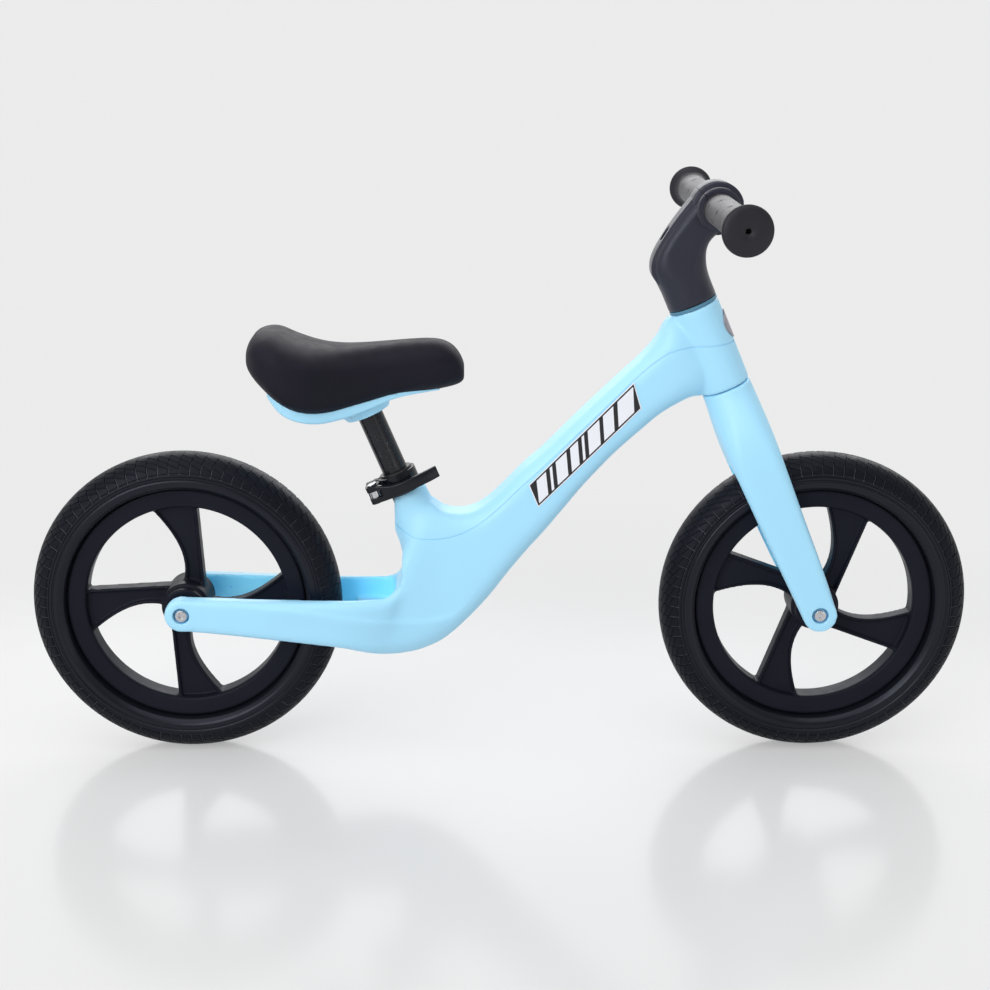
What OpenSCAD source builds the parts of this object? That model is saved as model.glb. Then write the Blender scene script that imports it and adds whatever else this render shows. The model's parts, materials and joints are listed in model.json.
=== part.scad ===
// Child's balance bike: one-piece moulded frame and fork, two four-spoke wheels on ball bearings,
// free-turning headset, height-adjustable saddle with a lever clamp. Millimetres.
// X points forward, Y to the rider's left, Z up. The origin is on the ground, midway between the wheels.

/* [Wheels] */
// Distance between the two wheel centres
wheelbase = 602; // [560:1:640]
// Outer diameter of a tyre
tyre_d = 296; // [286:1:304]
// Width of a tyre
tyre_w = 48; // [40:1:54]
// Radius where the tyre leaves the rim
rim_r = 114; // [108:1:118]
// Radius of the spoke windows
window_r = 96; // [88:1:98]
// Number of spokes in a wheel
spokes = 4; // [3:1:6]
// Turn of the front wheel's spokes against the rear wheel's
front_phase = -23.5; // [-45:0.5:45]
// Outer diameter of a wheel bearing
bearing_od = 22; // [19:1:26]
// Bore of a wheel bearing, and diameter of the axles
axle_d = 8; // [8:1:10]

/* [Steering] */
// Lean of the steering axis back from vertical
head_tilt = 23.4; // [18:0.1:28]
// Outer radius of the head tube and of the fork crown's top
head_r = 23.3; // [20:0.1:26]
// Half the distance over the fork ends and over the stay ends
drop_half = 48.3; // [44:0.1:52]
// Half the clear distance between the fork blades and between the stays
gap_half = 33.5; // [31:0.5:36]
// Diameter of the steel steerer tube
steerer_d = 25.4; // [22:0.1:28.6]
// Forward reach of the handlebar from the steering axis
bar_reach = 51.7; // [40:0.1:60]
// Height of the handlebar above the front wheel centre, along the steering axis
bar_rise = 389; // [370:1:410]

/* [Handlebar] */
// Half the width over the grips
bar_half = 188; // [160:1:200]
// Diameter of the handlebar tube
bar_d = 22.2; // [19:0.1:25.4]
// Outer radius of a grip
grip_r = 14.3; // [13:0.1:16]
// Radius of the round flange at a grip's outer end
grip_flange_r = 21.5; // [18:0.5:24]

/* [Saddle] */
// Lean of the seat post back from vertical
seat_tilt = 23; // [18:0.1:28]
// Diameter of the seat post
post_d = 24; // [22:0.1:25.4]
// Half the width of the saddle at its widest
saddle_half = 64; // [55:1:75]

/* [Choice] */
// Which sub-part to draw

/* [Hidden] */
$fn = 64;
fit = 0.05;
wheel_r = tyre_d / 2;
half_base = wheelbase / 2;
bore_r = axle_d / 2;
bearing_r = bearing_od / 2;
bearing_w = 7;
hub_half = 28.5;
steerer_r = steerer_d / 2;
bar_r = bar_d / 2;
post_r = post_d / 2;
seat_x = -103.1;
seat_z = 283.7;
crown_s = 230.4;
head_bottom = 231;
head_top = 313;
collar_top = 316;
light_blue = [0.62, 0.86, 0.97];
black = [0.12, 0.12, 0.13];
grey = [0.3, 0.3, 0.32];
steel = [0.75, 0.76, 0.78];

// ---- places ----

// Steering frame: origin in the front wheel centre, z up the steering axis, x forward.
module at_steering() { translate([half_base, 0, wheel_r]) rotate([0, -head_tilt, 0]) children(); }

// Seat frame: z up the seat post, x forward.
module at_seat() { translate([seat_x, 0, seat_z]) rotate([0, -seat_tilt, 0]) children(); }

module at_front_wheel() { translate([half_base, 0, wheel_r]) children(); }
module at_rear_wheel() { translate([-half_base, 0, wheel_r]) children(); }
module both_sides() { for (s = [0, 1]) mirror([0, s, 0]) children(); }

// A cylinder along Y from y0 to y1.
module rod_y(y0, y1, r) { translate([0, y0, 0]) rotate([-90, 0, 0]) cylinder(h = y1 - y0, r = r); }

// A cylinder along X from x0 to x1.
module rod_x(x0, x1, r) { translate([x0, 0, 0]) rotate([0, 90, 0]) cylinder(h = x1 - x0, r = r); }

module tube(z0, z1, ro, ri) {
  difference() {
    translate([0, 0, z0]) cylinder(h = z1 - z0, r = ro);
    translate([0, 0, z0 - 1]) cylinder(h = z1 - z0 + 2, r = ri);
  }
}

module tube_y(y0, y1, ro, ri) {
  difference() {
    rod_y(y0, y1, ro);
    rod_y(y0 - 1, y1 + 1, ri);
  }
}

// ---- lofts ----

corner_steps = 6;

// A rounded rectangle round c: half sizes a along u and b along v, corner radii ra and rb.
function ring(c, u, v, a, b, ra, rb) = [
  for (k = [0:3]) for (j = [0:corner_steps])
    let (t = 90 * k + 90 * j / corner_steps,
      su = (k == 0 || k == 3) ? 1 : -1,
      sv = (k < 2) ? 1 : -1)
    c + u * (su * (a - ra) + ra * cos(t)) + v * (sv * (b - rb) + rb * sin(t))];

// Catmull-Rom value between list entries k and k + 1.
function blend_at(l, k, t) =
  let (n = len(l) - 1,
    p0 = l[max(k - 1, 0)], p1 = l[k], p2 = l[min(k + 1, n)], p3 = l[min(k + 2, n)])
  0.5 * (2 * p1 + (p2 - p0) * t + (2 * p0 - 5 * p1 + 4 * p2 - p3) * t * t
    + (3 * p1 - p0 - 3 * p2 + p3) * t * t * t);

// The list with steps - 1 smooth entries added between each pair.
function smooth(l, steps) = concat(
  [for (k = [0:len(l) - 2]) for (j = [0:steps - 1]) blend_at(l, k, j / steps)], [l[len(l) - 1]]);

// A closed skin over rings that run so that u x v points from one ring to the next.
module skin(rings) {
  m = len(rings);
  n = len(rings[0]);
  pts = [for (r = rings) for (p = r) p];
  sides = [for (k = [0:m - 2]) for (i = [0:n - 1])
    let (j = (i + 1) % n)
    each [[k * n + i, (k + 1) * n + i, (k + 1) * n + j], [k * n + i, (k + 1) * n + j, k * n + j]]];
  low = [for (i = [0:n - 1]) i];
  high = [for (i = [0:n - 1]) (m - 1) * n + n - 1 - i];
  polyhedron(points = pts, faces = concat(sides, [low, high]), convexity = 8);
}

// ---- frame ----

// Sections of the frame from the head tube back to the stay ends:
// [top x, top z, bottom x, bottom z, half width, corner size along the section, corner size across]
frame_stations = [
  [166, 427, 203, 367, 17, 30, 16],
  [152.6, 423.8, 190, 352.5, 22, 32, 20],
  [143.5, 406.5, 176, 350.5, 24, 24, 18],
  [130, 389.5, 163, 344.5, 24.5, 19, 16],
  [113.5, 373, 147.5, 335.5, 25, 17, 14],
  [95.5, 355.5, 131, 321.5, 25, 16, 13],
  [67.5, 328, 105, 297.5, 25, 16, 13],
  [39.5, 299.5, 78, 268, 25, 16, 13],
  [20.5, 282.5, 59, 244.5, 25, 16, 13],
  [2.5, 264, 41.5, 222.5, 25.3, 17, 14],
  [-12.5, 250, 25.5, 204, 25.8, 18, 15],
  [-27.5, 241, 7, 181, 26.3, 19, 16],
  [-42, 239, -11, 157, 26.8, 20, 17],
  [-56, 242, -31, 134.5, 27.3, 20, 18],
  [-69, 250.5, -54, 113, 27, 24, 19],
  [-81, 238, -75, 103.5, 29, 22, 18],
  [-93, 206, -92, 100.5, 31.5, 20, 17],
  [-93.7, 186, -107, 100.5, 34, 18, 15],
  [-97.5, 170.5, -121, 103, 37.5, 14, 12],
  [-110, 162, -135, 107.5, 41, 11, 9],
  [-136, 160, -153, 113, 44.5, 9, 7],
  [-178, 160, -184, 118, 46.5, 8, 6],
  [-222, 161, -224, 123.5, 47.4, 7, 5],
  [-264, 162.5, -265, 128.5, 48, 7, 4.5],
  [-301, 163.8, -301, 132.2, 48.3, 7, 4]];

function frame_ring(s, inset) =
  let (top = [s[0], 0, s[1]], low = [s[2], 0, s[3]],
    half = norm(low - top) / 2, u = (low - top) / (2 * half), a = half - inset, b = s[4] - inset)
  ring((top + low) / 2, u, [0, -1, 0], a, b, min(s[5], 0.97 * a), min(s[6], 0.97 * b));

module stay_gap() {
  // The rear wheel's room between the stays: a slot with a rounded front end, deeper round the tyre.
  translate([0, 0, 139]) linear_extrude(90) union() {
    translate([-420, -gap_half]) square([303, 2 * gap_half]);
    translate([-130, -16.5]) square([29, 33]);
    for (s = [-1, 1]) translate([-117, s * 17.5]) circle(r = 16, $fn = 48);
  }
  at_rear_wheel() difference() {
    rod_y(-gap_half, gap_half, 161);
    translate([-400, -60, 60]) cube([800, 120, 200]);
  }
  translate([-460, -gap_half, 60]) cube([160, 2 * gap_half, 200]);
}

// Sections of the seat tube in the seat frame: [height, rear, front, half width]
neck_stations = [[-28, -20.6, 20.6, 20.6], [-40, -21.5, 21, 20.9], [-50, -22.7, 22, 21.4],
  [-62, -23.6, 24, 22.2], [-74, -24.4, 27, 23.2], [-86, -26.7, 30, 24.2], [-96, -29, 31, 24.8]];

function neck_ring(s) =
  ring([(s[1] + s[2]) / 2, 0, s[0]], [0, 1, 0], [1, 0, 0], s[3], (s[2] - s[1]) / 2,
    s[3] * 0.98, (s[2] - s[1]) * 0.49);

module frame() {
  color(light_blue) difference() {
    union() {
      skin([for (s = smooth(frame_stations, 2)) frame_ring(s, 0)]);
      at_steering() translate([0, 0, head_bottom]) cylinder(h = head_top - head_bottom, r = head_r);
      at_seat() skin([for (s = smooth(neck_stations, 2)) neck_ring(s)]);
      at_seat() translate([0, 0, -112]) cylinder(h = 102.5, r = 15.6);
      at_rear_wheel() both_sides() rod_y(gap_half, drop_half, 16);
    }
    stay_gap();
    at_steering() translate([0, 0, head_bottom - 1]) cylinder(h = 90, r = 17);
    at_seat() translate([0, 0, -158]) cylinder(h = 170, r = 13.6);
    // Slot that lets the clamp squeeze the seat tube's neck.
    at_seat() translate([-20, -1.2, -28]) cube([12, 2.4, 30]);
    at_rear_wheel() rod_y(-60, 60, 2.6);
    at_rear_wheel() both_sides() rod_y(gap_half - 1, 39.5, bore_r + fit);
    at_rear_wheel() both_sides() rod_y(drop_half - 4, drop_half + 2, 7.8);
    // Hollow inside of the down tube.
    skin([for (s = smooth([for (k = [4:11]) frame_stations[k]], 1)) frame_ring(s, 4.5)]);
  }
}

module head_badge() {
  color(grey) at_steering() intersection() {
    tube(265, 306, head_r + 1, head_r + 0.02);
    translate([0, 0, 285.7]) rod_x(5, 40, 14);
  }
}

module headset_upper_bushing() {
  color(black) at_steering() {
    tube(297, head_top, 16.95, steerer_r + fit);
    tube(head_top + 0.02, head_top + 1.2, 21.5, steerer_r + fit);
  }
}

module headset_lower_bushing() {
  color(black) at_steering() tube(head_bottom + 0.4, head_bottom + 18, 16.95, steerer_r + fit);
}

module headset_collar() {
  color([0.35, 0.6, 0.72]) at_steering() difference() {
    tube(head_top + 0.15, collar_top, head_r - 0.4, steerer_r + 0.3);
    translate([0, 0, head_top - 1]) cylinder(h = 2.35, r = 21.6);
  }
}

module seat_tube_liner() {
  color(black) at_seat() {
    tube(-110, -9.6, 13.55, post_r + fit);
    tube(-9.45, -6, 15.4, post_r + fit);
  }
}

// ---- seat clamp ----

clamp_low = -27.5;
clamp_high = -8;
skewer_x = -23.5;
skewer_z = -16;
pivot_y = -17.5;

module clamp_collar() {
  color(black) at_seat() difference() {
    union() {
      translate([0, 0, clamp_low]) cylinder(h = clamp_high - clamp_low, r = 18.6);
      for (s = [0, 1]) mirror([0, s, 0]) translate([-31.5, 1.8, -23]) cube([20, 6.2, 14]);
    }
    translate([0, 0, clamp_low - 1]) cylinder(h = 40, r = 15.65);
    translate([-40, -1.8, clamp_low - 1]) cube([30, 3.6, 40]);
    translate([skewer_x, 0, skewer_z]) rod_y(-20, 20, 3.05);
  }
}

module clamp_skewer() {
  // The skewer's eye takes the lever's pin; its other end is threaded for the nut.
  color(steel) at_seat() translate([skewer_x, 0, skewer_z]) difference() {
    union() {
      rod_y(pivot_y, 19, 3);
      translate([0, pivot_y, -3.2]) cylinder(h = 6.4, r = 5.2);
    }
    translate([0, pivot_y, -10]) cylinder(h = 20, r = 2.05);
  }
}

module clamp_pin() {
  // The lever's hinge pin, with a round head on the upper prong.
  color(steel) at_seat() translate([skewer_x, pivot_y, skewer_z]) {
    translate([0, 0, -9.2]) cylinder(h = 18.4, r = 2);
    translate([0, 0, 8.7]) cylinder(h = 1.5, r = 4.9);
  }
}

module clamp_washers() {
  color(steel) at_seat() translate([skewer_x, 0, skewer_z]) {
    tube_y(8.1, 9.3, 6, 3.05);
    tube_y(-9.9, -8.1, 6.5, 3.05);
  }
}

// Sections of the lever's arm in the seat frame: [x, y, half thickness, low z, high z]
lever_stations = smooth([
  [-23, -21.6, 2.7, -8.6, 8.4], [-17, -23.6, 2.8, -8.6, 7.4], [-11, -24.6, 2.8, -8.6, 4.8],
  [-4, -25, 2.8, -8.6, 3], [4, -24.9, 2.8, -8.5, 2.3], [12, -24.2, 2.7, -8.2, 2.1],
  [21, -22.7, 2.6, -7.8, 2.1], [30, -20.7, 2.5, -7.3, 2.2], [38.5, -18.2, 2.2, -6.6, 2.4]], 2);

function lever_ring(k) =
  let (s = lever_stations[k],
    turn = lever_stations[min(k + 1, len(lever_stations) - 1)] - lever_stations[max(k - 1, 0)],
    t = atan2(turn[1], turn[0]))
  ring([s[0], s[1], skewer_z + (s[3] + s[4]) / 2], [-sin(t), cos(t), 0], [0, 0, 1],
    s[2], (s[4] - s[3]) / 2, 1.2, 1.2);

module clamp_lever() {
  // Cam end with two prongs on the pin, and a curved arm that wraps round the collar's right side.
  color(black) at_seat() difference() {
    union() {
      for (z = [skewer_z - 8.6, skewer_z + 3.4])
        translate([skewer_x, pivot_y, z]) cylinder(h = 5.2, r = 7);
      skin([for (k = [0:len(lever_stations) - 1]) lever_ring(k)]);
    }
    translate([skewer_x, pivot_y, skewer_z - 12]) cylinder(h = 24, r = 2.05);
    // Room for the skewer's eye as the lever swings.
    translate([skewer_x - 10, pivot_y - 12, skewer_z - 3.4]) cube([17.5, 20, 6.8]);
  }
}

module clamp_nut() {
  color(black) at_seat() translate([skewer_x, 0, skewer_z]) difference() {
    union() {
      rod_y(9.5, 12, 6.5);
      rod_y(11.9, 17.5, 5.5);
    }
    rod_y(5, 30, 3.05);
  }
}

// ---- axles and bearings ----

module axle() {
  // Round bar with a threaded hole in each end.
  color(steel) difference() {
    rod_y(-39.3, 39.3, bore_r);
    both_sides() rod_y(22, 42, 2.55);
  }
}

module axle_bolts() {
  // Socket-head bolts screwed into the axle's ends, heads sunk in the round recesses.
  color(steel) both_sides() difference() {
    union() {
      rod_y(25, drop_half - 3.9, 2.5);
      rod_y(drop_half - 3.95, drop_half - 0.6, 5.5);
    }
    translate([0, drop_half - 2.6, 0]) rotate([-90, 0, 0]) cylinder(h = 3, r = 2.3, $fn = 6);
  }
}

module hub_spacers() {
  color(steel) {
    both_sides() tube_y(hub_half - 0.45, gap_half - 0.05, 6.2, bore_r + fit);
    tube_y(-(hub_half - bearing_w - 0.6), hub_half - bearing_w - 0.6, 6, bore_r + fit);
  }
}

module bearing_inner_rings() {
  color(steel) both_sides() translate([0, hub_half - bearing_w - 0.5, 0]) rotate([-90, 0, 0])
    rotate_extrude() difference() {
      translate([bore_r + fit, 0]) square([6.1 - bore_r - fit, bearing_w]);
      translate([7.5, bearing_w / 2]) circle(r = 2.1, $fn = 48);
    }
}

module bearing_outer_rings() {
  color(steel) both_sides() translate([0, hub_half - bearing_w - 0.5, 0]) rotate([-90, 0, 0])
    rotate_extrude() difference() {
      translate([8.9, 0]) square([bearing_r - 8.9, bearing_w]);
      translate([7.5, bearing_w / 2]) circle(r = 2.1, $fn = 48);
    }
}

module bearing_balls() {
  // Seven balls a side, held by a thin cage ring.
  color(steel) both_sides() translate([0, hub_half - bearing_w / 2 - 0.5, 0]) rotate([-90, 0, 0]) {
    for (k = [0:6]) rotate([0, 0, 360 * k / 7]) translate([7.5, 0, 0]) sphere(r = 2, $fn = 32);
    tube(-0.5, 0.5, 8.1, 6.9);
  }
}

// ---- wheels ----

// Points of a cubic Bezier curve.
function bezier(a, b, c, d, n) = [for (k = [0:n]) let (t = k / n)
  a * pow(1 - t, 3) + b * 3 * t * pow(1 - t, 2) + c * 3 * t * t * (1 - t) + d * pow(t, 3)];

// A spoke's outline, pointing up: one straight edge, one edge that sweeps out to the rim.
spoke_hub = [-4, 16];
spoke_curve = bezier([-31, 99], [-10, 74], [6, 50], [-2, 22], 14);

function spoke_outline() = concat([[15.8, 98], [-4, 98]], spoke_curve, [spoke_hub, [17.8, 16]]);

module spoke_lips() {
  // Raised edges along both sides of a spoke.
  n = len(spoke_curve) - 1;
  polygon(concat(spoke_curve, [for (k = [n:-1:0]) spoke_curve[k] + [3.2, -0.6]]));
  polygon([[17.8, 14], [15.8, 98], [12.8, 98], [14.6, 14]]);
}

module rim(phase) {
  color(black) rotate([90, -phase, 0]) difference() {
    union() {
      rotate_extrude($fn = 128) polygon([[window_r, -9], [window_r + 1.5, -12], [rim_r - 2, -13.5],
        [rim_r, -12.5], [rim_r, -10.5], [rim_r - 7, -9], [rim_r - 7, 9], [rim_r, 10.5],
        [rim_r, 12.5], [rim_r - 2, 13.5], [window_r + 1.5, 12], [window_r, 9]]);
      for (k = [0:spokes - 1]) rotate([0, 0, 360 * k / spokes]) {
        translate([0, 0, -4.5]) linear_extrude(9) polygon(spoke_outline());
        translate([0, 0, -8]) linear_extrude(16) spoke_lips();
      }
      translate([0, 0, -20]) cylinder(h = 40, r = 23);
      translate([0, 0, -hub_half]) cylinder(h = 2 * hub_half, r = 20);
    }
    translate([0, 0, -40]) cylinder(h = 80, r = 6.6);
    for (s = [0, 1]) mirror([0, 0, s]) translate([0, 0, hub_half - bearing_w - 0.5])
      cylinder(h = 20, r = bearing_r + 0.01);
  }
}

module tyre() {
  // Solid rubber section: bead in the rim's channel, round sidewalls, flat crown grooves.
  side = tyre_w / 2;
  mid = rim_r + 13;
  tall = wheel_r - mid;
  color([0.1, 0.1, 0.1]) rotate([90, 0, 0]) rotate_extrude($fn = 128) difference() {
    polygon(concat([[rim_r - 6.8, -8.8], [rim_r + 0.2, -10.4], [rim_r + 0.4, -13]],
      [for (k = [0:24]) let (t = -35 + 250 * k / 24) [mid + tall * sin(t), -side * cos(t)]],
      [[rim_r + 0.4, 13], [rim_r + 0.2, 10.4], [rim_r - 6.8, 8.8]]));
    // Light core of the tyre.
    polygon([for (k = [0:17]) [mid + (tall - 6) * sin(20 * k), (side - 6) * cos(20 * k)]]);
  }
}

// ---- fork and steering ----

// Outer shape of the fork, from the wheel centre up: [height, centre x, half depth, half width, corners]
fork_stations = [
  [0, 0, 16, drop_half, 5, 5],
  [25, 0.3, 17.4, 48.2, 6, 5],
  [55, 0, 19, 48, 7, 6],
  [95, -0.6, 20.6, 47.6, 8, 7],
  [135, -0.9, 22.2, 47, 10, 8],
  [165, -0.9, 23.4, 46, 12, 12],
  [185, -0.6, 23.9, 43, 16, 20],
  [203, -0.3, 23.9, 36.5, 20, 26],
  [217, 0, 23.6, 28.5, 22.5, 26],
  [226, 0, 23.3, 24, 22.7, 23.3],
  [crown_s, 0, 23.2, 23.2, 22.6, 22.6]];

module fork() {
  color(light_blue) at_steering() difference() {
    union() {
      skin([for (s = smooth(fork_stations, 2))
        ring([s[1], 0, s[0]], [1, 0, 0], [0, 1, 0], s[2], s[3], s[4], s[5])]);
      both_sides() rod_y(gap_half, drop_half, 16);
    }
    // Room for the front wheel.
    translate([-60, 0, 0]) rotate([90, 0, 90]) linear_extrude(120) union() {
      translate([-gap_half, -40]) square([2 * gap_half, 180]);
      translate([-gap_half + 14, 130]) square([2 * gap_half - 28, 26]);
      for (s = [-1, 1]) translate([s * (gap_half - 14.1), 141.9]) circle(r = 14, $fn = 48);
    }
    translate([0, 0, 182]) cylinder(h = 60, r = steerer_r + fit);
    rod_y(-60, 60, 2.6);
    both_sides() rod_y(gap_half - 1, 39.5, bore_r + fit);
    both_sides() rod_y(drop_half - 4, drop_half + 2, 7.8);
  }
}

module steerer_tube() { color(steel) at_steering() tube(182.2, 364.8, steerer_r, steerer_r - 1.6); }

module steerer_plug() {
  // Threaded plug that the stem bolt pulls against.
  color(steel) at_steering() tube(330, 348, steerer_r - 1.65, 3.05);
}

clamp_r = 22.8;
boss_r = 19.6;
cap_screw = 16;
clamp_half = 15;
cap_turn = 25;

// Sections of the stem from the bar down to the headset:
// [back x, back z, front x, front z, half width, corner size along the section, corner size across]
stem_stations = [
  [35, 403.6, 52, 368, 19, 10, 10], [22.4, 397, 47, 368, 19.2, 10, 10], [9.4, 389, 42, 367, 19.4, 10, 10],
  [-3.6, 380.3, 37, 365.2, 19.8, 10, 10], [-15, 370.8, 32.2, 361.8, 20.4, 11, 11],
  [-22.4, 359, 27.6, 355, 21.4, 14, 13], [-23.8, 347, 24.2, 344, 22.6, 19, 18],
  [-23.1, 333, 23.1, 332, 23.1, 22.4, 22.4], [-23.1, 316.4, 23.1, 316.4, 23.1, 22.4, 22.4]];

module at_bar() { at_steering() translate([bar_reach, 0, bar_rise]) children(); }

// Faces the clamp cap: x points out of the cap.
module at_cap() { at_bar() rotate([0, -cap_turn, 0]) children(); }

// The two cap screws sit along the cap's lower edge.
module at_cap_screws() { at_cap() for (s = [-1, 1]) translate([0, 9 * s, -cap_screw]) children(); }

module clamp_rings() {
  at_bar() {
    rod_y(-clamp_half, clamp_half, clamp_r);
    rod_y(-26.4, 26.4, boss_r);
    // Raised bands round the clamp.
    tube_y(-12, 12, clamp_r + 1.4, bar_r + 4);
    both_sides() tube_y(13.2, 14.4, clamp_r + 0.7, bar_r + 4);
  }
}

module stem() {
  color(black) difference() {
    union() {
      at_steering() skin([for (r = smooth(stem_stations, 2)) frame_ring(r, 0)]);
      clamp_rings();
      // Raised band along the back.
      at_steering() rotate([90, 0, 0]) translate([0, 0, -12]) linear_extrude(24) polygon([[-23.6, 348],
        [-24.6, 352], [-24.6, 358.5], [-20.6, 367], [-12.8, 375.5], [-2, 383.8], [9.2, 391.2],
        [22, 399], [34, 405.6], [42, 410.6], [49, 403], [34, 398.5], [20, 390], [4, 380], [-12, 366],
        [-19, 348]]);
    }
    at_steering() translate([0, 0, collar_top - 1]) cylinder(h = 50, r = steerer_r + fit);
    at_steering() translate([0, 0, 350]) cylinder(h = 30, r = 3.1);
    at_steering() translate([0, 0, 370]) cylinder(h = 50, r = 6.2);
    at_bar() rod_y(-40, 40, bar_r + fit);
    // The clamp's front part is the separate cap.
    at_cap() translate([0.4, -40, -40]) cube([60, 80, 80]);
    at_cap_screws() rod_x(-12, 10, 2);
  }
}

module stem_bolt() {
  color(black) at_steering() difference() {
    union() {
      translate([0, 0, 329]) cylinder(h = 41.1, r = 3);
      translate([0, 0, 370.05]) cylinder(h = 6, r = 5);
    }
    translate([0, 0, 373]) cylinder(h = 8, r = 2.9, $fn = 6);
  }
}

module handlebar() {
  color(steel) at_steering() translate([bar_reach, 0, bar_rise])
    tube_y(-bar_half + 5, bar_half - 5, bar_r, bar_r - 1.6);
}

module bar_clamp_cap() {
  color(black) difference() {
    clamp_rings();
    at_cap() translate([-60, -40, -40]) cube([61, 80, 80]);
    at_bar() rod_y(-40, 40, bar_r + fit);
    at_cap_screws() {
      rod_x(-12, 60, 2.2);
      rod_x(8.5, 60, 3.9);
    }
  }
}

module bar_clamp_screws() {
  color(steel) at_cap_screws() difference() {
    union() {
      rod_x(-11, 8.6, 1.95);
      rod_x(8.52, 11.5, 3.6);
    }
    translate([10, 0, 0]) rotate([0, 90, 0]) cylinder(h = 5, r = 1.8, $fn = 6);
  }
}

module grip() {
  // Sleeve with a round end flange, closed but for a small vent hole.
  color(grey) at_steering() translate([bar_reach, 0, bar_rise]) rotate([-90, 0, 0])
    rotate_extrude() polygon([[bar_r + fit, 26.6], [grip_r + 0.6, 26.6], [grip_r + 0.6, 28.5],
      [grip_r, 30], [grip_r, bar_half - 12], [grip_r + 1.2, bar_half - 9], [grip_r + 5, bar_half - 6.5],
      [grip_flange_r - 0.5, bar_half - 5.4], [grip_flange_r, bar_half - 4],
      [grip_flange_r - 0.4, bar_half - 2.2], [grip_flange_r - 3, bar_half - 0.7],
      [grip_flange_r - 9, bar_half], [2.4, bar_half], [2.4, bar_half - 4.8], [bar_r + fit, bar_half - 4.8]]);
}

module grip_left() { grip(); }
module grip_right() { mirror([0, 1, 0]) grip(); }

// ---- saddle ----

// Saddle cushion from its rear to its nose: [x, top z, bottom z, half width]
saddle_stations = [
  [-235, 395, 384, 20], [-233.4, 401.5, 378, 34], [-228, 409, 370, 47], [-219.5, 412.8, 360.5, 56],
  [-208, 412.6, 350, 61.5], [-194, 406.5, 341, 63], [-178, 401.2, 336.3, 60], [-162, 398.4, 335, 52],
  [-145, 397.8, 337.5, 43.5], [-125, 399, 343.8, 36.5], [-105, 400.8, 350.5, 32], [-85, 402.6, 354.2, 29.5],
  [-68, 403.4, 356.5, 28], [-56, 402.2, 358.6, 26], [-46, 397.4, 360.8, 22.5], [-39, 389, 363.2, 18],
  [-35.2, 380, 366.5, 12]];

module cushion_shape() {
  skin([for (s = smooth(saddle_stations, 2))
    let (a = s[3] * saddle_half / 64, b = (s[1] - s[2]) / 2)
    ring([s[0], 0, (s[1] + s[2]) / 2], [0, 1, 0], [0, 0, 1], a, b, 0.8 * a, min(0.8 * b, 22))]);
}

module saddle_cushion() { color(black) cushion_shape(); }

// Saddle base under the cushion: [x, top z, bottom z, half width]
base_stations = [
  [-216, 372, 352.2, 30], [-208, 362, 344.3, 41], [-199, 354, 337.6, 46], [-186, 348, 333, 48],
  [-170, 346, 330.7, 45], [-155, 347, 332.2, 39], [-138, 350, 336, 33], [-120, 353, 342.6, 27],
  [-104, 357, 349.6, 23], [-88, 361, 353.6, 20], [-72, 363, 356, 17], [-58, 364, 357.9, 13]];

module saddle_base() {
  color(light_blue) difference() {
    union() {
      skin([for (s = smooth(base_stations, 2))
        let (a = s[3], b = (s[1] - s[2]) / 2)
        ring([s[0], 0, (s[1] + s[2]) / 2 - 0.4], [0, 1, 0], [0, 0, 1], a, b, 0.35 * a, 0.5 * b)]);
      at_seat() translate([-0.8, 0, 54.5]) cylinder(h = 12, r = 21.3);
    }
    at_seat() translate([0, 0, 40]) cylinder(h = 24, r = post_r + fit);
    at_seat() translate([0, 0, 60]) rod_x(-40, 0, 2.6);
    at_seat() translate([0, 0, 60]) rod_x(-40, -18.9, 4.4);
    // The cushion is moulded onto the base.
    translate([0, 0, -0.05]) cushion_shape();
  }
}

module seat_post() {
  color(black) at_seat() difference() {
    tube(-110, 62.4, post_r, post_r - 1.5);
    translate([0, 0, 60]) rod_x(-40, 0, 2.6);
  }
}

module seat_post_plug() {
  color(black) at_seat() {
    translate([0, 0, -112.5]) cylinder(h = 2.45, r = post_r - 0.3);
    translate([0, 0, -110.06]) cylinder(h = 8, r = post_r - 1.55);
  }
}

module saddle_screw() {
  color(steel) at_seat() translate([0, 0, 60]) difference() {
    union() {
      rod_x(-18.96, -7, 2.5);
      rod_x(-21.6, -18.95, 4.2);
    }
    translate([-21.7, 0, 0]) rotate([0, 90, 0]) cylinder(h = 1.8, r = 1.8, $fn = 6);
  }
}

// ---- trim ----

module frame_decals() {
  color([0.9, 0.9, 0.92]) both_sides() translate([0, 25.6, 0]) rotate([90, 0, 0])
    linear_extrude(0.4) polygon([[27.2, 268.3], [119.1, 365.6], [127.1, 344.9], [33.9, 250.8]]);
}

// ---- wheel sets ----

module rear_axle() { at_rear_wheel() axle(); }
module rear_axle_bolts() { at_rear_wheel() axle_bolts(); }
module rear_hub_spacers() { at_rear_wheel() hub_spacers(); }
module rear_bearing_inner_rings() { at_rear_wheel() bearing_inner_rings(); }
module rear_bearing_outer_rings() { at_rear_wheel() bearing_outer_rings(); }
module rear_bearing_balls() { at_rear_wheel() bearing_balls(); }
module rear_rim() { at_rear_wheel() rim(2); }
module rear_tyre() { at_rear_wheel() tyre(); }
module front_axle() { at_front_wheel() axle(); }
module front_axle_bolts() { at_front_wheel() axle_bolts(); }
module front_hub_spacers() { at_front_wheel() hub_spacers(); }
module front_bearing_inner_rings() { at_front_wheel() bearing_inner_rings(); }
module front_bearing_outer_rings() { at_front_wheel() bearing_outer_rings(); }
module front_bearing_balls() { at_front_wheel() bearing_balls(); }
module front_rim() { at_front_wheel() rim(2 + front_phase); }
module front_tyre() { at_front_wheel() tyre(); }

// ---- drawing ----

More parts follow.
